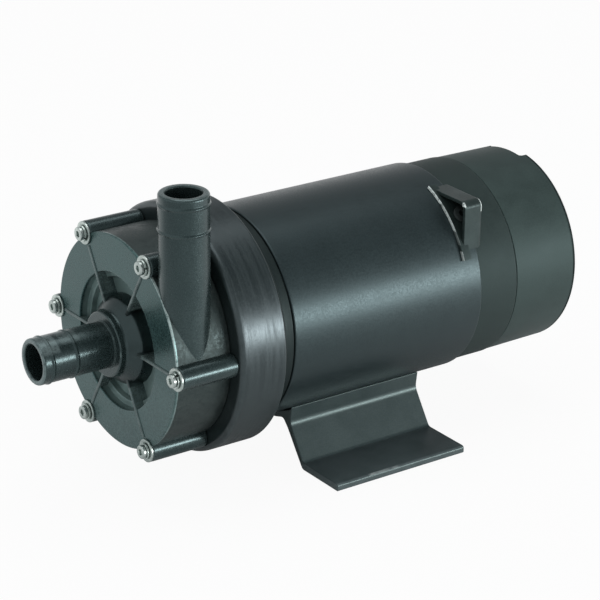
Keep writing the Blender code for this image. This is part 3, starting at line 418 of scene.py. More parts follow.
def skinOf(tree, look):
    return useGroup(tree, "skinGrain", dict(zip(("Grain size", "Cloud size", "Speck size"), look["grain"])))


# puts the worn edges over a colour
def wornColour(tree, look, colour, patches):
    amount, reach = look["wear"]
    mask = useGroup(tree, "edgeWear", {"Amount": amount, "Reach": reach, "Patches": patches})["Mask"]
    return mixColour(tree, mask, colour, look["worn"])


# Each kind of finish gives its colour, its roughness and the height for its bump.

# a filled plastic with a skin that is a little cloudy and finely uneven
def mouldedPlastic(tree, look):
    skin = skinOf(tree, look)
    fine = between(tree, skin["Height"], 0.35, 0.65)
    tone = plus(tree, times(tree, skin["Clouds"], 0.45), times(tree, fine, 0.55))
    colour = mixColour(tree, tone, look["dark"], look["light"])
    colour = mixColour(tree, times(tree, skin["Specks"], look["specks"]), colour, look["worn"])
    colour = wornColour(tree, look, colour, 120.0)
    gloss = between(tree, tone, 0.0, 1.0, *look["roughness"])
    # worn places and painted highlights, each a box with its share
    for middle, half, share in look.get("wearAndHighlights", []):
        wearAndHighlights = useGroup(tree, "wearAndHighlightBox", {"Middle": middle, "Half": half})["Mask"]
        colour = mixColour(tree, times(tree, wearAndHighlights, share), colour, look["wearAndHighlightColour"])
    # painted light and painted shade: a ring round the shaft line gets a lighter or a darker tint
    if "paintedLightAndShade" in look:
        inner, outer, behind, tint, share, dull = look["paintedLightAndShade"]
        paintedLightAndShade = useGroup(tree, "ringBand", {"Inner": inner, "Outer": outer, "Behind": behind})["Mask"]
        cloudy = between(tree, skin["Clouds"], 0.0, 1.0, 0.55 * share, share)
        colour = mixColour(tree, times(tree, paintedLightAndShade, cloudy), colour, tint)
        gloss = plus(tree, gloss, times(tree, paintedLightAndShade, dull), True)
    return colour, gloss, skin["Height"]


# a sprayed coat over a turned body: rings in the gloss, grain in the skin
def turnedPaint(tree, look):
    skin = skinOf(tree, look)
    rings = useGroup(tree, "turnedLines", {"Lines": look["lines"], "Round": look["round"]})
    ringShare, cloudShare = look["shares"]
    fine = between(tree, skin["Height"], 0.35, 0.65)
    tone = plus(tree, times(tree, skin["Clouds"], cloudShare), times(tree, rings["Streaks"], ringShare))
    tone = plus(tree, tone, times(tree, fine, 1.0 - ringShare - cloudShare))
    colour = wornColour(tree, look, mixColour(tree, tone, look["dark"], look["light"]), 150.0)
    height = plus(tree, times(tree, rings["Height"], ringShare), times(tree, skin["Height"], 1.0 - ringShare))
    return colour, between(tree, tone, 0.0, 1.0, *look["roughness"]), height


# bare metal with fine scratches along one direction and a little staining
def bareMetal(tree, look):
    sockets = {"Vector": objectPlace(tree), "Scale": look["stretch"]}
    stretch = addNode(tree, "ShaderNodeMapping", None, sockets).outputs[0]
    scratches = noise(tree, stretch, 1.0, 5.0, 0.7)
    colour = mixColour(tree, skinOf(tree, look)["Clouds"], look["dark"], look["light"])
    colour = wornColour(tree, look, colour, 200.0)
    return colour, between(tree, scratches, 0.3, 0.7, *look["roughness"]), scratches


def waves(tree, kind, scale, distortion, detail):
    sockets = {"Vector": objectPlace(tree), "Scale": scale, "Distortion": distortion}
    sockets |= {"Detail": detail, "Detail Scale": detail}
    return addNode(tree, "ShaderNodeTexWave", {"wave_type": kind}, sockets).outputs["Fac"]


# sheet steel stacked along the shaft, with the sheets' edges showing
def stackedSheet(tree, look):
    sheets = waves(tree, "BANDS", look["sheets"], 0.6, 2.0)
    tone = times(tree, sheets, between(tree, noise(tree, objectPlace(tree), 70.0, 5.0), 0.3, 0.7, 0.6, 1.0))
    colour = mixColour(tree, tone, look["dark"], look["light"])
    return colour, between(tree, tone, 0.0, 1.0, *look["roughness"]), sheets


# enamelled wire in bundles, tied and varnished
def woundWire(tree, look):
    strands = waves(tree, "RINGS", look["strands"], 5.0, 3.0)
    varnish = noise(tree, objectPlace(tree), 120.0, 4.0)
    colour = mixColour(tree, strands, look["dark"], look["light"])
    colour = mixColour(tree, between(tree, varnish, 0.45, 0.65, 0.0, 0.6), colour, look["varnish"])
    return colour, between(tree, varnish, 0.3, 0.7, *look["roughness"]), strands


# pressed and fired stuff: magnets, ceramic, carbon and rubber differ in grain and gloss
def pressedStuff(tree, look):
    skin = skinOf(tree, look)
    colour = mixColour(tree, skin["Clouds"], look["dark"], look["light"])
    colour = wornColour(tree, look, mixColour(tree, skin["Specks"], colour, look["speck"]), 160.0)
    return colour, between(tree, skin["Height"], 0.3, 0.7, *look["roughness"]), skin["Height"]


# A look's grain is the scale of grain, clouds and specks; bump is strength and depth; wear is amount and
# reach. A box for wear and for painted highlights is its middle, half size and share. A ring of painted
# light or painted shade is inner and outer radius, where it starts, its tint, its share and how much duller it is.
looks = {
    "headPlastic": (mouldedPlastic, {
        "dark": (0.008, 0.014, 0.014), "light": (0.018, 0.027, 0.027), "worn": (0.20, 0.27, 0.26),
        "glossTint": (0.72, 1.0, 1.02), "ior": 1.64, "roughness": (0.23, 0.32), "bump": (0.11, 0.00010),
        "grain": (900.0, 60.0, 700.0), "specks": 0.12, "wear": (0.45, 0.10),
        # painted shade at the foot of the collar
        "paintedLightAndShade": (0.0178, 0.0250, -0.1124, (0.003, 0.005, 0.005), 1.0, 0.04),
        # both mouths, where hoses are pushed on, worn and with a painted highlight, and a painted highlight on the top
        # of the suction nozzle
        "wearAndHighlightColour": (0.26, 0.33, 0.33),
        "wearAndHighlights": [
            ((-0.1580, 0.0, 0.0820), (0.0006, 0.0200, 0.0200), 0.45),
            ((-0.0947, -0.0444, 0.1750), (0.0200, 0.0200, 0.0004), 0.25),
            ((-0.1525, 0.0, 0.0960), (0.0056, 0.0140, 0.0080), 0.32),
            ((-0.1400, 0.0, 0.0960), (0.0060, 0.0120, 0.0050), 0.16),
        ],
    }),
    "casingPlastic": (mouldedPlastic, {
        "dark": (0.014, 0.030, 0.030), "light": (0.034, 0.066, 0.064), "worn": (0.24, 0.31, 0.30),
        "glossTint": (0.50, 1.0, 1.0), "ior": 1.62, "roughness": (0.22, 0.36), "bump": (0.20, 0.00010),
        "grain": (800.0, 60.0, 700.0), "specks": 0.10, "wear": (0.7, 0.08),
        # painted light: a pale tint on the recess floor, which lies in shade
        "paintedLightAndShade": (0.0242, 0.0368, -0.1072, (0.185, 0.250, 0.240), 0.95, 0.12),
        # a painted highlight on the face's edge, and the lower half painted paler as painted light
        "wearAndHighlightColour": (0.42, 0.50, 0.49),
        "wearAndHighlights": [
            ((-0.1078, -0.0450, 0.1090), (0.0007, 0.0170, 0.0290), 0.8),
            ((-0.1085, 0.0, 0.0300), (0.0020, 0.0900, 0.0500), 0.07),
        ],
    }),
    "wallPlastic": (mouldedPlastic, {
        "dark": (0.008, 0.013, 0.013), "light": (0.030, 0.037, 0.035), "worn": (0.12, 0.12, 0.11),
        "glossTint": (0.74, 1.0, 1.0), "ior": 1.50, "roughness": (0.34, 0.58), "bump": (0.30, 0.00012),
        "grain": (800.0, 170.0, 900.0), "specks": 0.25, "wear": (0.0, 0.08),
    }),
    "bracketPaint": (turnedPaint, {
        "dark": (0.006, 0.010, 0.010), "light": (0.013, 0.019, 0.019), "worn": (0.30, 0.37, 0.37),
        "glossTint": (0.82, 1.0, 1.06), "ior": 1.63, "roughness": (0.28, 0.43), "bump": (0.18, 0.00004),
        "grain": (1100.0, 70.0, 1200.0), "lines": 3200.0, "round": 110.0, "shares": (0.55, 0.1), "wear": (0.5, 0.10),
    }),
    # painted shade: the front shield is coloured darker than the shell, so that the groove between bracket and shell
    # reads as a soft dark band
    "shieldPaint": (turnedPaint, {
        "dark": (0.005, 0.008, 0.008), "light": (0.010, 0.015, 0.015), "worn": (0.03, 0.04, 0.04),
        "glossTint": (0.74, 1.0, 1.0), "ior": 1.36, "roughness": (0.46, 0.58), "bump": (0.25, 0.00008),
        "grain": (1100.0, 70.0, 1200.0), "lines": 2200.0, "round": 40.0, "shares": (0.3, 0.3), "wear": (0.3, 0.10),
    }),
    "shellPaint": (turnedPaint, {
        "dark": (0.010, 0.015, 0.016), "light": (0.017, 0.025, 0.026), "worn": (0.06, 0.08, 0.08),
        "glossTint": (0.72, 1.0, 1.05), "ior": 1.5, "roughness": (0.32, 0.43), "bump": (0.20, 0.00008),
        "grain": (1200.0, 90.0, 1500.0), "lines": 900.0, "round": 60.0, "shares": (0.1, 0.1), "wear": (0.4, 0.10),
    }),
    "footPaint": (mouldedPlastic, {
        "dark": (0.029, 0.042, 0.043), "light": (0.044, 0.060, 0.061), "worn": (0.16, 0.20, 0.20),
        "glossTint": (0.76, 1.0, 0.98), "ior": 1.54, "roughness": (0.30, 0.38), "bump": (0.18, 0.00008),
        "grain": (1300.0, 70.0, 1300.0), "specks": 0.04, "wear": (0.0, 0.12),
        # painted light: the flanges painted paler
        "paintedLightAndShade": (0.0890, 0.1300, -1.0, (0.070, 0.088, 0.092), 0.9, 0.0),
        # the outer edge of the near flange
        "wearAndHighlightColour": (0.42, 0.47, 0.46),
        "wearAndHighlights": [((0.0130, -0.0737, 0.0042), (0.0110, 0.0012, 0.0009), 1.0)],
    }),
    "rearPlastic": (mouldedPlastic, {
        "dark": (0.021, 0.032, 0.030), "light": (0.034, 0.050, 0.047), "worn": (0.10, 0.13, 0.13),
        "glossTint": (0.70, 1.0, 1.0), "ior": 1.40, "roughness": (0.50, 0.60), "bump": (0.30, 0.00012),
        "grain": (1200.0, 80.0, 1500.0), "specks": 0.10, "wear": (0.0, 0.10),
        # painted shade: a dark line along the rear rim
        "paintedLightAndShade": (0.0540, 0.0600, 0.1560, (0.001, 0.002, 0.002), 1.0, 0.3),
    }),
    "rimPlastic": (mouldedPlastic, {
        "dark": (0.015, 0.022, 0.021), "light": (0.024, 0.034, 0.032), "worn": (0.08, 0.10, 0.10),
        "glossTint": (0.70, 1.0, 1.0), "ior": 1.38, "roughness": (0.55, 0.66), "bump": (0.30, 0.00012),
        "grain": (1200.0, 80.0, 1500.0), "specks": 0.10, "wear": (0.3, 0.10),
    }),
    "hoodPlastic": (mouldedPlastic, {
        "dark": (0.013, 0.020, 0.019), "light": (0.020, 0.030, 0.028), "worn": (0.10, 0.13, 0.13),
        "glossTint": (0.74, 1.0, 1.0), "ior": 1.36, "roughness": (0.34, 0.46), "bump": (0.25, 0.00010),
        "grain": (1200.0, 90.0, 1500.0), "specks": 0.02, "wear": (0.2, 0.10),
        # painted highlights along the lip's front edge from top to bottom, on the front corner and on the rear corner
        "wearAndHighlightColour": (0.70, 0.78, 0.76),
        "wearAndHighlights": [
            ((0.0776, -0.0300, 0.1347), (0.0004, 0.0150, 0.0047), 1.0),
            ((0.0776, -0.0480, 0.1246), (0.0004, 0.0150, 0.0066), 0.7),
            ((0.0776, -0.0530, 0.1155), (0.0004, 0.0080, 0.0038), 0.14),
            ((0.0776, -0.0550, 0.1062), (0.0004, 0.0060, 0.0032), 0.4),
            ((0.0802, -0.0515, 0.1345), (0.0008, 0.0022, 0.0012), 1.0),
            ((0.0918, -0.0505, 0.1335), (0.0009, 0.0030, 0.0050), 1.0),
        ],
    }),
    "innerPlastic": (mouldedPlastic, {
        "dark": (0.045, 0.046, 0.045), "light": (0.075, 0.077, 0.075), "worn": (0.16, 0.16, 0.16),
        "roughness": (0.42, 0.52), "bump": (0.18, 0.00010),
        "grain": (1600.0, 60.0, 900.0), "specks": 0.3, "wear": (0.3, 0.10),
    }),
    "stainless": (bareMetal, {
        "dark": (0.38, 0.44, 0.42), "light": (0.58, 0.65, 0.62), "worn": (0.80, 0.86, 0.83),
        "metal": 1.0, "roughness": (0.26, 0.42), "bump": (0.25, 0.00002),
        "grain": (2400.0, 260.0, 1500.0), "stretch": (300.0, 1500.0, 1500.0), "wear": (0.5, 0.08),
    }),
    "zincSteel": (bareMetal, {
        "dark": (0.42, 0.43, 0.44), "light": (0.60, 0.61, 0.62), "worn": (0.80, 0.80, 0.80),
        "metal": 1.0, "roughness": (0.28, 0.45), "bump": (0.3, 0.00002),
        "grain": (2400.0, 140.0, 1500.0), "stretch": (400.0, 900.0, 900.0), "wear": (0.4, 0.08),
    }),
    "coreSteel": (stackedSheet, {
        "dark": (0.13, 0.13, 0.14), "light": (0.42, 0.43, 0.44),
        "metal": 0.9, "roughness": (0.35, 0.60), "bump": (0.5, 0.00006), "sheets": 320.0,
    }),
    "copperWire": (woundWire, {
        "dark": (0.28, 0.09, 0.03), "light": (0.80, 0.36, 0.16), "varnish": (0.45, 0.14, 0.04),
        "metal": 0.7, "roughness": (0.25, 0.45), "bump": (0.8, 0.0003), "strands": 260.0,
    }),
    "ferrite": (pressedStuff, {
        "dark": (0.045, 0.045, 0.050), "light": (0.075, 0.075, 0.082),
        "speck": (0.15, 0.15, 0.16), "worn": (0.16, 0.16, 0.17),
        "roughness": (0.45, 0.70), "bump": (0.4, 0.00005), "grain": (1500.0, 90.0, 800.0), "wear": (0.5, 0.07),
    }),
    "ceramic": (pressedStuff, {
        "dark": (0.70, 0.68, 0.62), "light": (0.84, 0.82, 0.77),
        "speck": (0.55, 0.52, 0.46), "worn": (0.88, 0.87, 0.83),
        "roughness": (0.12, 0.25), "bump": (0.08, 0.00005), "grain": (2500.0, 120.0, 600.0), "wear": (0.3, 0.07),
    }),
    "carbon": (pressedStuff, {
        "dark": (0.018, 0.018, 0.020), "light": (0.036, 0.036, 0.040),
        "speck": (0.09, 0.09, 0.10), "worn": (0.10, 0.10, 0.11),
        "roughness": (0.28, 0.45), "bump": (0.2, 0.00005), "grain": (2200.0, 150.0, 1100.0), "wear": (0.4, 0.07),
    }),
    "rubber": (pressedStuff, {
        "dark": (0.010, 0.016, 0.016), "light": (0.018, 0.028, 0.027),
        "speck": (0.03, 0.04, 0.04), "worn": (0.03, 0.04, 0.04),
        "roughness": (0.70, 0.88), "bump": (0.35, 0.00005), "grain": (1400.0, 80.0, 900.0), "wear": (0.2, 0.07),
    }),
}


def newMaterial(name):
    material = bpy.data.materials.new(name)
    material.use_nodes = True
    return material, material.node_tree, material.node_tree.nodes["Principled BSDF"]


def makeFinish(name, kind, look):
    material, tree, shader = newMaterial(name)
    colour, gloss, height = kind(tree, look)
    strength, depth = look["bump"]
    bump = addNode(tree, "ShaderNodeBump", None, {"Strength": strength, "Distance": depth, "Height": height})
    sockets = {
        "Base Color": colour,
        "Roughness": gloss,
        "Normal": bump.outputs["Normal"],
        "Metallic": look.get("metal", 0.0),
        "IOR": look.get("ior", 1.5),
        "Specular Tint": look.get("glossTint", (1.0, 1.0, 1.0)),
    }
    for key, value in sockets.items():
        feed(tree, shader.inputs[key], value)
    return material


finishes = {name: makeFinish(name, kind, look) for name, (kind, look) in looks.items()}
print("stage: finishes made,", len(finishes))


# front casing: face with its stepped recess, wall, and the fittings on them

casing = {
    "radius": 58.0,
    "faceEdge": 1.0,
    "facePlate": 1.4,
    "recess": 37.2,
    "recessStep": 4.7,
    "recessDepth": 8.0,
    "recessBack": 11.5,
    "recessInner": 22.0,
    "groove": (41.0, 47.0),
    "grooveDepth": 4.8,
    "wallBore": 53.5,
    "wallSeat": -81.6,
    "nozzleRadius": 12.4,
    "nozzleBore": 9.5,
    "ridge": 0.6,
    "ridges": (5.5, 19.5),
    "ridgeHalf": 1.1,
    "neckRing": 13.4,
    "collarRadius": 17.6,
    "collarBore": 12.0,
    "hubRadius": 24.3,
    "hubBore": 16.2,
    "throat": 10.6,
    "dischargeRadius": 13.2,
    "dischargeX": -94.7,
    "dischargeY": -44.4,
    "dischargeTop": 93.0,
    "bossRadius": 6.3,
    "webHalf": 1.0,
    "webProud": 0.6,
    "webDepth": 9.0,
    "webReach": (15.6, 51.9),
    "holderRadius": 6.2,
    "holderBore": 4.3,
    "holderLength": 9.0,
    "holderArms": (90, 210, 330),
}


def nozzleOutline(start, radius):
    outline = [(start, casing["nozzleBore"] + 0.5, 0.3), (start, radius, 1.5)]
    for reach in casing["ridges"]:
        at = start + reach
        half = casing["ridgeHalf"]
        outline += [(at - half, radius, 0.4), (at, radius + casing["ridge"], 0.5), (at + half, radius, 0.4)]
    return outline


def suctionTube():
    tip, bore, collar, ring = station["tip"], casing["nozzleBore"], station["collar"], casing["neckRing"]
    corners = nozzleOutline(tip, casing["nozzleRadius"]) + [
        (collar, casing["nozzleRadius"], 0.8),
        (collar - 0.3, ring, 0.3),
        (collar + 2.0, ring),
        (collar + 2.0, bore),
        (tip + 1.0, bore, 0.3),
    ]
    return turned(corners, 5, 96)


def hub():
    collar = station["collar"] - station["face"]
    radius, bore, throat, hubEnd, step = casing["hubRadius"], casing["nozzleBore"], casing["throat"], 11.4, 6.5
    corners = fromStation(station["face"], [
        (collar, casing["collarBore"]), (collar, casing["collarRadius"], 0.9),
        (-4.1, casing["collarRadius"], 3.0), (-1.2, 20.6, 3.0), (1.6, radius - 1.0, 2.5), (8.2, radius),
        (hubEnd, radius), (hubEnd, casing["hubBore"]),
        (step, casing["hubBore"]), (step, throat),
        (-3.0, throat), (-5.0, bore),
        (collar + 1.8, bore), (collar + 1.8, casing["collarBore"]),
    ])
    return turned(corners, 5, 128)


def casingFace():
    recess, back, inner = casing["recess"], casing["recessBack"], casing["recessInner"]
    low, high = casing["groove"]
    return turned(fromStation(station["face"], [
        (casing["recessDepth"], inner), (casing["recessDepth"], recess - 4.2, 0.6),
        (casing["recessStep"], recess - 3.6, 0.6), (casing["recessStep"], recess - 0.4, 0.5),
        (0.0, recess, 0.6), (0.0, casing["radius"], casing["faceEdge"]),
        (casing["facePlate"], casing["radius"]), (casing["facePlate"], high + 3.0),
        (casing["grooveDepth"], high, 1.0), (casing["grooveDepth"], low, 1.0),
        (back, low - 0.4), (back, inner),
    ]), 5, 160)


def casingWall():
    face, end, seat, high = station["face"], station["casingEnd"], casing["wallSeat"], casing["groove"][1]
    return turned([
        (face + casing["facePlate"], casing["radius"]), (end, casing["radius"], 0.4), (end, casing["wallBore"]),
        (seat, casing["wallBore"]), (seat, high + 0.5),
        (face + casing["grooveDepth"], high), (face + casing["facePlate"], high + 3.0),
    ], 5, 160)


# stands a piece that is turned along the shaft upright in the discharge nozzle's place
def stoodUp(solid):
    place = Matrix.Translation((casing["dischargeX"], casing["dischargeY"], 0))
    return movedBy(solid, place @ turn(-90.0, "Y"))


def dischargeTube():
    top, bore, foot = -casing["dischargeTop"], casing["nozzleBore"], 1.0
    corners = nozzleOutline(top, casing["dischargeRadius"])
    corners += [(foot, casing["dischargeRadius"]), (foot, bore), (top + 1.0, bore, 0.3)]
    return stoodUp(spun([(-x, r) for x, r in softened(corners, 5)], 96))


def dischargeBore():
    low, high, bore = -2.0, 70.0, casing["nozzleBore"]
    return stoodUp(spun([(low, 0), (low, bore), (high, bore), (high, 0)], 64))


def casingBosses():
    face, end, radius = station["face"], station["casingEnd"], casing["bossRadius"]
    boss = turned([(face, 0), (face, radius, 0.7), (end, radius, 0.4), (end, 0)], 4, 48, False)
    return copiesAround(boss, boltCircle, boltAngles)


def casingWebs():
    crest = station["face"] - casing["webProud"]
    web = radialBar(casing["webHalf"], crest, crest + casing["webDepth"], 0.55, *casing["webReach"])
    return [rolled(web, 180.0 - angle) for angle in boltAngles]


def spindleHolder():
    x = station["face"] - 3.0
    end, radius, bore, floor = x + casing["holderLength"], casing["holderRadius"], casing["holderBore"], x + 1.5
    corners = [(x, 0), (x, radius, 0.8), (end, radius, 0.5), (end, bore), (floor, bore), (floor, 0)]
    arm = radialBar(0.9, x + 1.0, end - 1.0, 0.5, 4.8, 11.8)
    return [turned(corners, 3, 48, False)] + [rolled(arm, 180.0 - angle) for angle in casing["holderArms"]]


makePiece("frontCasingFace", [casingFace()], "casingPlastic",
          ["front_casing"], [dischargeBore()])
makePiece("frontCasingWall", [casingWall()], "wallPlastic", [], [dischargeBore()])
fittings = [suctionTube(), dischargeTube(), hub()] + casingBosses() + casingWebs() + spindleHolder()
makePiece("frontCasingFittings", fittings, "headPlastic", [])
print("stage: front casing")


# cover screws with spring and flat washers

fastener = {
    "headRadius": 3.7,
    "headX": (-113.1, -111.3),
    "socketAcross": 3.2,
    "socketDepth": 1.5,
    "shank": 2.2,
    "tipX": (-66.0, -65.4),
    "springX": (-111.1, -110.1),
    "springRadii": (2.5, 4.5),
    "springTurn": (96.0, 344.0),
    "springRise": 0.18,
    "flatX": (-109.8, -108.75),
    "flatRadii": (2.5, 6.25),
    "turnStep": 37.0,
}


def coverScrew():
    points = 48
    start, end = fastener["headX"]
    head, shank, across = fastener["headRadius"], fastener["shank"], fastener["socketAcross"]
    floor = start + fastener["socketDepth"]
    tip = fastener["tipX"]

    def circle(x, r):
        return [(x, *around(r, 360.0 * i / points)) for i in range(points)]

    def hexagon(x, width):
        ring = []
        for i in range(points):
            angle = 360.0 * i / points
            lean = math.radians((angle + 30.0) % 60.0 - 30.0)
            ring.append((x, *around(width / 2 / math.cos(lean), angle)))
        return ring

    rings = [hexagon(floor + 0.5, 0.4), hexagon(floor, across - 0.2)]
    rings += [hexagon(start + 0.35, across - 0.1), hexagon(start + 0.05, across + 0.3)]
    rings += [circle(start + x, head - r) for x, r in ((0, 1.0), (0, 0.6), (0.1, 0.33), (0.28, 0.12), (0.55, 0))]
    rings += [circle(end - 0.2, head), circle(end, head - 0.15), circle(end, shank)]
    rings += [circle(tip[0], shank), circle(tip[1], shank - 0.6)]
    return lofted(rings)


def springWasher():
    start, sweep = fastener["springTurn"]
    section = rectangle(*fastener["springRadii"], *fastener["springX"], 0.18, 2)
    rings = []
    steps = 60
    for i in range(steps + 1):
        rise = fastener["springRise"] * (i / steps - 0.5)
        rings.append([(x + rise, *around(r, start + sweep * i / steps)) for r, x in section])
    return lofted(rings)


def flatWasher():
    x0, x1 = fastener["flatX"]
    inner, outer = fastener["flatRadii"]
    return turned([(x0, inner), (x0, outer, 0.35), (x1, outer, 0.2), (x1, inner)], 3, 64)


for number, angle in enumerate(boltAngles, 1):
    for label, node, solid in (
        ("coverScrew", "cover_screw", coverScrew()),
        ("springWasher", "spring_washer", springWasher()),
        ("flatWasher", "flat_washer", flatWasher()),
    ):
        placed = shifted(rolled(solid, fastener["turnStep"] * number), 0, *around(boltCircle, angle))
        makePiece(f"{label}{number}", [placed], "stainless", [f"{node}_{number}"], sharp=28.0)
print("stage: screws and washers")


# bracket

bracket = {
    "radius": 67.8,
    "frontEdge": 2.8,
    "rearEdge": 1.0,
    "frontBore": 49.6,
    "bore": 61.0,
    "rearBore": 41.5,
    "frontWall": 6.0,
    "rearWall": 5.0,
    "bossX": (-70.3, -62.3),
    "bossRadius": 5.4,
}


def bracketSolids():
    front, rear = station["bracket"], station["bracketEnd"]
    frontIn, rearIn = front + bracket["frontWall"], rear - bracket["rearWall"]
    corners = [
        (front, bracket["frontBore"], 0.5), (front, bracket["radius"], bracket["frontEdge"]),
        (rear, bracket["radius"], bracket["rearEdge"]), (rear, bracket["rearBore"], 0.5),
        (rearIn, bracket["rearBore"], 0.5), (rearIn, bracket["bore"], 1.0),
        (frontIn, bracket["bore"], 1.0), (frontIn, bracket["frontBore"], 0.5),
    ]
    start, end = bracket["bossX"]
    radius = bracket["bossRadius"]
    boss = turned([(start, 0), (start, radius), (end, radius, 0.8), (end, 0)], 3, 32, False)
    return [turned(corners, 5, 160)] + copiesAround(boss, boltCircle, boltAngles)


makePiece("bracketRing", bracketSolids(), "bracketPaint", ["bracket"])
print("stage: bracket")


# motor: front shield, shell and rear shield

motor = {
    "shieldLip": 61.6,
    "lipWidth": 4.7,
    "shieldNeck": 57.2,
    "shieldBore": 42.5,
    "shellRadius": 58.1,
    "shellBore": 55.5,
    "spigot": 55.2,
    "spigotReach": 8.0,
    "rimRadius": 56.6,
    "rimWall": 3.2,
    "hubRadius": 22.3,
    "bearingBore": 17.8,
    "frontShaftBore": 9.0,
    "rearShaftBore": 8.7,
    "rearHub": (15.1, 19.0),
    "gap": 0.3,
}


def frontShield():
    lipEnd = station["shield"] + motor["lipWidth"] - station["shell"]
    spigot, reach, seat, shaft = motor["spigot"], motor["spigotReach"], motor["bearingBore"], motor["frontShaftBore"]
    front = station["shield"] - station["shell"]
    return turned(fromStation(station["shell"], [
        (front, motor["shieldBore"]), (front, motor["shieldLip"], 0.6),
        (lipEnd, motor["shieldLip"], 1.8), (lipEnd, motor["shieldNeck"], 1.8),
        (-motor["gap"], motor["shieldNeck"], 0.2), (-motor["gap"], spigot),
        (reach, spigot, 0.5), (reach, spigot - 3.0),
        (1.5, spigot - 4.0), (1.5, motor["hubRadius"] + 1.0),
        (12.0, motor["hubRadius"]), (12.0, seat),
        (0.7, seat), (0.7, shaft),
        (-2.5, shaft), (-2.5, motor["shieldBore"]),
    ]), 4, 144)


def rearShield():
    spigot, reach, seat, shaft = motor["spigot"], motor["spigotReach"], motor["bearingBore"], motor["rearShaftBore"]
    rim, (plate, hubEnd), gap = motor["rimRadius"], motor["rearHub"], motor["gap"]
    seam = station["seam"] - station["rim"]
    return turned(fromStation(station["rim"], [
        (-reach, spigot - 3.0), (-reach, spigot, 0.5),
        (gap, spigot), (gap, rim, 0.4),
        (seam - gap, rim, 0.8), (seam - gap, rim - motor["rimWall"]),
        (hubEnd, rim - motor["rimWall"] - 0.4), (hubEnd, shaft),
        (plate, shaft), (plate, seat),
        (1.0, seat), (1.0, motor["hubRadius"]),
        (plate, motor["hubRadius"] + 1.0), (plate, spigot - 4.0),
    ]), 4, 144)


def motorShell():
    x0, x1 = station["shell"], station["rim"]
    outer, inner = motor["shellRadius"], motor["shellBore"]
    return turned([(x0, inner, 0.3), (x0, outer, 0.8), (x1, outer, 0.6), (x1, inner, 0.3)], 4, 160)


makePiece("frontShield", [frontShield()], "shieldPaint", ["front_shield"])
makePiece("motorShell", [motorShell()], "shellPaint", ["motor_shell"])
makePiece("rearShield", [rearShield()], "rimPlastic", ["rear_shield"])
print("stage: motor body")


# fan cover with its notch, air slots and screws

cover = {
    "radius": 56.2,
    "rearRadius": 55.7,
    "wall": 2.4,
    "endWall": 2.6,
    "skirt": 6.0,
    "screwCircle": 48.2,
    "screwAngles": (90, 210, 330),
    "bossRadius": 4.3,
    "bossBore": 2.3,
    "slots": 10,
    "slotReach": (14.0, 40.0),
    "slotWidth": 4.4,
    "notch": (80.0, 113.0),
    "notchDepth": 5.2,
    "notchCorner": 1.6,
    "screwHead": 3.6,
    "screwRise": 2.4,
    "screwShank": 2.0,
    "screwLength": 40.0,
    "crossHalf": (1.9, 0.45),
    "crossTurns": (20.0, 110.0),
}
coverEnd = station["rear"] - cover["skirt"]
screwSeat = coverEnd + 0.3


def coverSolids():
    seam, rear = station["seam"], station["rear"]
    inner, back = cover["rearRadius"] - cover["wall"], coverEnd - cover["endWall"]
    corners = [
        (seam, cover["radius"] - cover["wall"], 0.3), (seam, cover["radius"], 0.5),
        (rear, cover["rearRadius"], 0.7), (rear, inner, 0.4),
        (coverEnd, inner - 0.5, 1.0), (coverEnd, 0),
        (back, 0), (back, inner - 0.5, 1.0),
    ]
    start, end, radius, bore = seam + 1.0, coverEnd - 0.5, cover["bossRadius"], cover["bossBore"]
    boss = turned([(start, bore), (start, radius, 0.4), (end, radius), (end, bore)], 3, 32)
    return [turned(corners, 5, 160)] + copiesAround(boss, cover["screwCircle"], cover["screwAngles"])


def notchCutter():
    first, last = cover["notch"]
    radius, corner = cover["rearRadius"], cover["notchCorner"]
    low, high, end = radius - cover["wall"] - 2.0, radius + 2.0, station["rear"] + 1.0
    rings = []
    steps = 36
    for i in range(steps + 1):
        angle = first + (last - first) * i / steps
        reach = min(angle - first, last - angle) * math.radians(1.0) * radius
        short = 0.0
        if reach < corner:
            short = corner - math.sqrt(max(0.0, corner ** 2 - (corner - reach) ** 2))
        x = station["rear"] - cover["notchDepth"] + short
        rings.append([(at, *around(r, angle)) for at, r in ((x, low), (x, high), (end, high), (end, low))])
    return lofted(rings)


def slotCutters():
    half, count = cover["slotWidth"] / 2, cover["slots"]
    outline = rectangle(*cover["slotReach"], -half, half, half - 0.05, 5)
    slot = lofted([ringAt(x, outline) for x in (coverEnd - cover["endWall"] - 1.0, coverEnd + 1.0)])
    return [rolled(slot, 360.0 * (i + 0.5) / count) for i in range(count)]


# a pan head towards the rear, on a plain shank
def crossScrew():
    head, shank, crest = cover["screwHead"], cover["screwShank"], screwSeat + cover["screwRise"]
    tip = screwSeat - cover["screwLength"]
    corners = [(tip, 0), (tip, shank), (screwSeat, shank), (screwSeat, head, 0.3), (crest, head - 0.2, 1.5), (crest, 0)]
    return turned(corners, 4, 48, False)


def crossCutters(y, z):
    long, short = cover["crossHalf"]
    outline = rectangle(-long, long, -short, short, 0.2, 2)
    arm = lofted([ringAt(x, outline) for x in (screwSeat + 0.9, screwSeat + 4.0)])
    return [shifted(rolled(arm, degrees), 0, y, z) for degrees in cover["crossTurns"]]


makePiece("fanCover", coverSolids(), "rearPlastic", ["rear_cover"], [notchCutter()] + slotCutters())
for number, angle in enumerate(cover["screwAngles"], 1):
    y, z = around(cover["screwCircle"], angle)
    makePiece(f"fanCoverScrew{number}", [shifted(crossScrew(), 0, y, z)], "zincSteel",
              [f"rear_cover_screw_{number}"], crossCutters(y, z))
print("stage: fan cover")


# cooling fan behind the air slots

fan = {
    "start": 122.4,
    "depth": 16.0,
    "bore": 6.3,
    "radius": 42.0,
    "blades": 8,
    "bladeHalf": 0.9,
    "disc": (3.0, 5.0),
}


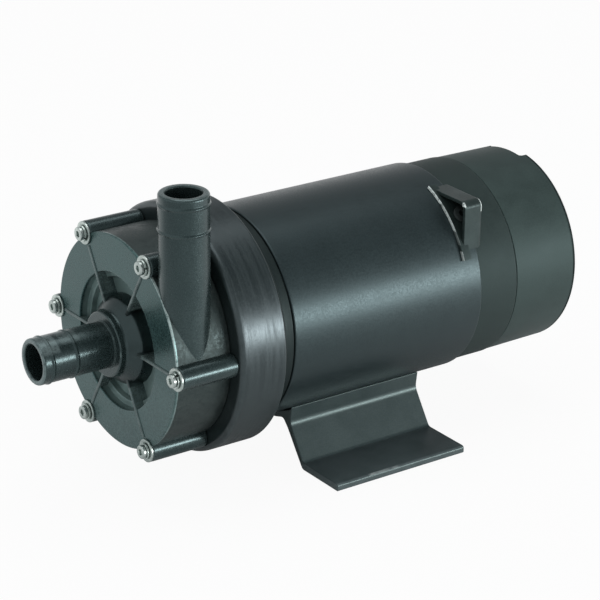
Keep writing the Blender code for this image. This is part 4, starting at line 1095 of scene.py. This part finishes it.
def fanSolids():
    x, bore, radius, half = fan["start"], fan["bore"], fan["radius"], fan["bladeHalf"]
    end, hubEnd, (front, back) = x + fan["depth"], fan["depth"] - 2.0, fan["disc"]
    disc = fromStation(x, [
        (0.0, bore), (0.0, bore + 6.0, 0.8),
        (front, bore + 7.0, 0.5), (front, radius - 6.0, 0.5), (back, radius - 6.0, 0.5), (back, bore + 7.0, 1.5),
        (hubEnd, bore + 5.0, 1.0), (hubEnd, bore),
    ])
    outline = rectangle(bore + 9.0, radius, x + 4.0, end, 1.2, 3)
    rings = []
    for side, inset in ((-half, 0.35), (-half + 0.3, 0.0), (half - 0.3, 0.0), (half, 0.35)):
        rings.append([(along, y, side) for y, along in insetBy(outline, inset)])
    blade = lofted(rings)
    return [turned(disc, 4, 96)] + [rolled(blade, 360.0 * i / fan["blades"]) for i in range(fan["blades"])]


makePiece("coolingFan", fanSolids(), "innerPlastic", ["cooling_fan"], body="motor_rotor")
print("stage: fan")


# cable hood with its open mouth and the lip on the shell

hood = {
    "start": 79.9,
    "length": 13.0,
    "top": 54.0,
    "side": 52.0,
    "wall": 2.0,
    "plate": 1.5,
    "base": 58.4,
    "corner": 4.0,
    "lip": 2.4,
    "lipUnder": 3.0,
    "lipAngles": (22.0, 68.0),
    # (distance, inset) of the rings: at the mouth from its start, at the rear from its end
    "mouthRings": ((0.0, 0.35), (0.12, 0.12), (0.4, 0.0)),
    "rearRings": ((-3.2, 0.0), (-2.2, 0.15), (-1.3, 0.6), (-0.6, 1.3), (-0.15, 2.0), (0.0, 2.7)),
}


def hoodOutline(base, inset):
    top, side = hood["top"] - inset, hood["side"] - inset
    low = math.degrees(math.acos(side / base))
    high = math.degrees(math.asin(top / base))
    outline = [around(base, low + (high - low) * i / 20) for i in range(21)]
    corner = hood["corner"] - 0.5 * inset
    for i in range(9):
        a = math.radians(90.0 * i / 8)
        outline.append((-side + corner - corner * math.sin(a), top - corner + corner * math.cos(a)))
    return outline


def hoodSolids():
    start, wall, base = hood["start"], hood["wall"], hood["base"]
    end, crest = start + hood["length"], base + hood["plate"]
    hollow = [(end - wall, wall + 0.3), (end - wall - 0.5, wall), (start + 0.3, wall), (start, wall - 0.25)]
    outside = fromStation(start, hood["mouthRings"]) + fromStation(end, hood["rearRings"])
    rings = []
    for level, insets in ((crest, hollow), (base, outside)):
        rings += [ringAt(x, hoodOutline(level, inset)) for x, inset in insets]
    x0, x1 = start - hood["lip"], start + hood["lipUnder"]
    first, last = hood["lipAngles"]
    lip = softened([(x0, base), (x0, crest, 0.5), (x1, crest), (x1, base)], 4)
    return [lofted(rings), spun(lip, 48, last - first, first)]


makePiece("cableHood", hoodSolids(), "hoodPlastic", ["cable_hood"])


grommet = {"x": 85.1, "angle": 46.0, "radius": 3.3, "collar": 4.8, "bore": 1.8, "low": 55.8, "top": 60.5}


def grommetSolid():
    low, top, collar = grommet["low"], grommet["top"], grommet["collar"]
    corners = [
        (low, grommet["bore"]), (low, grommet["radius"], 0.4), (top, grommet["radius"]),
        (top, collar, 0.4), (top + 1.3, collar - 0.4, 0.5), (top + 1.8, grommet["bore"], 0.3),
    ]
    lean = turn(180.0 - grommet["angle"]) @ turn(90.0, "Z")
    return movedBy(turned(corners, 3, 48), Matrix.Translation((grommet["x"], 0, 0)) @ lean)


makePiece("cableGrommet", [grommetSolid()], "rubber", ["cable_grommet"])
print("stage: hood and grommet")


# foot

foot = {
    "start": -18.4,
    "length": 85.8,
    "halfWidth": 74.0,
    "thickness": 4.2,
    "flangeInner": (42.8, 41.6),
    "saddle": 58.4,
    "saddleThickness": 4.0,
    "neck": 31.2,
    "edge": 0.6,
}


def footOutline():
    base = -shaftHeight
    top = base + foot["thickness"]
    saddle, wide, half = foot["saddle"], foot["halfWidth"], foot["neck"]
    under = saddle + foot["saddleThickness"]
    neck = -math.sqrt(saddle ** 2 - half ** 2)
    above, below = foot["flangeInner"]
    corners = [
        (half, neck, 0.4), (half - 1.3, neck - 9.6, 6.0),
        (above, top, 3.0), (wide, top, 1.6), (wide, base, 0.8), (below, base, 3.0),
        (half - 3.6, neck - 13.6, 4.0), (half - 8.0, neck - 9.0, 3.0),
    ]
    side = softened([(0, neck - 6.0)] + corners + [(0, -under)], 6, False)[1:-1]
    arc = [around(under, 270.0 + a) for a in (20.0, 16.0, 12.0, 8.0, 4.0)]
    lower = side + [(abs(y), z) for y, z in arc]
    outline = [(-y, z) for y, z in lower] + [(0.0, -under)] + list(reversed(lower))
    span = math.degrees(math.asin(half / saddle))
    outline += [around(saddle, 270.0 - span + 2 * span * i / 40) for i in range(1, 40)]
    return outline


footSolid = drawnOut(footOutline(), foot["start"], foot["start"] + foot["length"], foot["edge"])
makePiece("motorFoot", [footSolid], "footPaint", ["foot"])
print("stage: foot")


# the pieces inside keep their solids and get the finish of their stuff

insideOf = {
    "innerPlastic": ["rear_casing", "impeller"],
    "rubber": ["casing_o_ring"],
    "ceramic": ["pump_spindle", "mouth_ring", "front_thrust_ring", "rear_thrust_ring"],
    "carbon": ["impeller_bush"],
    "ferrite": ["driven_magnet", "drive_magnet"],
    "stainless": ["yoke_set_screw", "wave_washer"],
    "coreSteel": ["stator_core", "rotor_core"],
    "copperWire": ["front_winding", "rear_winding"],
    "zincSteel": ["drive_magnet_yoke", "front_bearing", "rear_bearing", "motor_shaft"],
}
for place in ("bracket", "foot"):
    insideOf["zincSteel"] += [f"{place}_screw_{number}" for number in range(1, 5)]
for finishName, nodeNames in insideOf.items():
    for nodeName in nodeNames:
        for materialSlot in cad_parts[nodeName].material_slots:
            materialSlot.material = finishes[finishName]
print("stage: inner pieces dressed,", sum(len(nodeNames) for nodeNames in insideOf.values()))


# floor, world, lamps and camera

studio = {
    "floorSize": 8.0,
    "floorColour": (0.90, 0.90, 0.90),
    "floorGlow": 0.94,
    "glowReach": (0.10, 0.40),
    "glowSide": (-0.30, -0.05),
    "skyHigh": (0.20, 0.21, 0.22),
    "skyMiddle": (0.48, 0.49, 0.50),
    "skyLow": (1.0, 1.0, 1.0),
    "skyLeft": (0.85, 0.86, 0.87),
}
lamps = {
    "window": {"place": (0.926, -1.426, 0.155), "size": (1.1, 0.34), "power": 18.0},
    "overhead": {"place": (0.1, 0.15, 1.75), "size": (1.3, 1.3), "power": 11.0},
}
white = (1.0, 1.0, 1.0)


# the floor glows white for the camera, and at some distance for reflections, but keeps the shadow
def makeFloor():
    half = studio["floorSize"] / 2
    mesh = bpy.data.meshes.new("studioFloor")
    mesh.from_pydata([(-half, -half, 0), (half, -half, 0), (half, half, 0), (-half, half, 0)], [], [[0, 1, 2, 3]])
    item = bpy.data.objects.new("studioFloor", mesh)
    scene.collection.objects.link(item)
    material, tree, shader = newMaterial("studioFloor")
    place = objectPlace(tree)
    feed(tree, shader.inputs["Roughness"], between(tree, noise(tree, place, 3.0, 3.0), 0.3, 0.7, 0.85, 0.95))
    feed(tree, shader.inputs["Base Color"], studio["floorColour"])
    shader.inputs["Specular IOR Level"].default_value = 0.0
    ray = addNode(tree, "ShaderNodeLightPath").outputs
    away = addNode(tree, "ShaderNodeVectorMath", {"operation": "LENGTH"}, {0: place}).outputs["Value"]
    away = between(tree, away, *studio["glowReach"])
    axes = axesOf(tree, place)
    beside = between(tree, plus(tree, axes["X"], axes["Y"]), *studio["glowSide"])
    mirrored = times(tree, ray["Is Glossy Ray"], times(tree, away, beside))
    seen = plus(tree, ray["Is Camera Ray"], mirrored, True)
    seen = times(tree, plus(tree, seen, ray["Is Transmission Ray"], True), studio["floorGlow"])
    glow = addNode(tree, "ShaderNodeEmission", None, {"Color": white, "Strength": 1.0})
    blend = addNode(tree, "ShaderNodeMixShader", None, {0: seen, 1: shader.outputs[0], 2: glow.outputs[0]})
    feed(tree, tree.nodes["Material Output"].inputs["Surface"], blend.outputs[0])
    mesh.materials.append(material)


def makeWorld():
    world = bpy.data.worlds.new("studioWorld")
    scene.world = world
    world.use_nodes = True
    tree = world.node_tree
    tree.nodes.clear()
    axes = axesOf(tree, addNode(tree, "ShaderNodeTexCoord").outputs["Generated"])
    sky = mixColour(tree, between(tree, axes["Z"], 0.35, 0.75), studio["skyMiddle"], studio["skyHigh"])
    sky = mixColour(tree, between(tree, axes["Z"], 0.32, 0.06), sky, studio["skyLow"])
    sky = mixColour(tree, between(tree, axes["X"], -0.20, -0.80), sky, studio["skyLeft"])
    walls = addNode(tree, "ShaderNodeBackground", None, {"Color": sky, "Strength": 1.0})
    plain = addNode(tree, "ShaderNodeBackground", None, {"Color": white, "Strength": 1.0})
    ray = addNode(tree, "ShaderNodeLightPath").outputs
    seen = plus(tree, ray["Is Camera Ray"], ray["Is Transmission Ray"], True)
    blend = addNode(tree, "ShaderNodeMixShader", None, {0: seen, 1: walls.outputs[0], 2: plain.outputs[0]})
    addNode(tree, "ShaderNodeOutputWorld", None, {"Surface": blend.outputs[0]})


def makeLamp(name, lamp):
    light = bpy.data.lights.new(name, "AREA")
    light.shape = "RECTANGLE"
    light.size, light.size_y = lamp["size"]
    light.energy = lamp["power"]
    item = bpy.data.objects.new(name, light)
    scene.collection.objects.link(item)
    item.location = lamp["place"]
    aim = Vector((0, 0, shaftHeight * metre)) - Vector(lamp["place"])
    item.rotation_euler = aim.to_track_quat("-Z", "Y").to_euler()


cameraView = {
    "place": (-0.72961, -1.03491, 0.59806),
    # azimuth, tilt up from straight down, and roll
    "turns": (("Z", -35.5), ("X", 90.0 - 22.23), ("Z", 0.66)),
    "lens": 151.0,
}


def makeCamera():
    lens = bpy.data.cameras.new("photoCamera")
    lens.lens = cameraView["lens"]
    lens.sensor_width = 36.0
    lens.sensor_fit = "HORIZONTAL"
    lens.clip_start = 0.05
    item = bpy.data.objects.new("photoCamera", lens)
    scene.collection.objects.link(item)
    pose = Matrix.Translation(cameraView["place"])
    for axis, degrees in cameraView["turns"]:
        pose = pose @ turn(degrees, axis)
    item.matrix_world = pose
    scene.camera = item


makeFloor()
makeWorld()
for lampName, lamp in lamps.items():
    makeLamp(lampName, lamp)
makeCamera()
scene.view_settings.view_transform = "Standard"
print("stage: studio and camera")
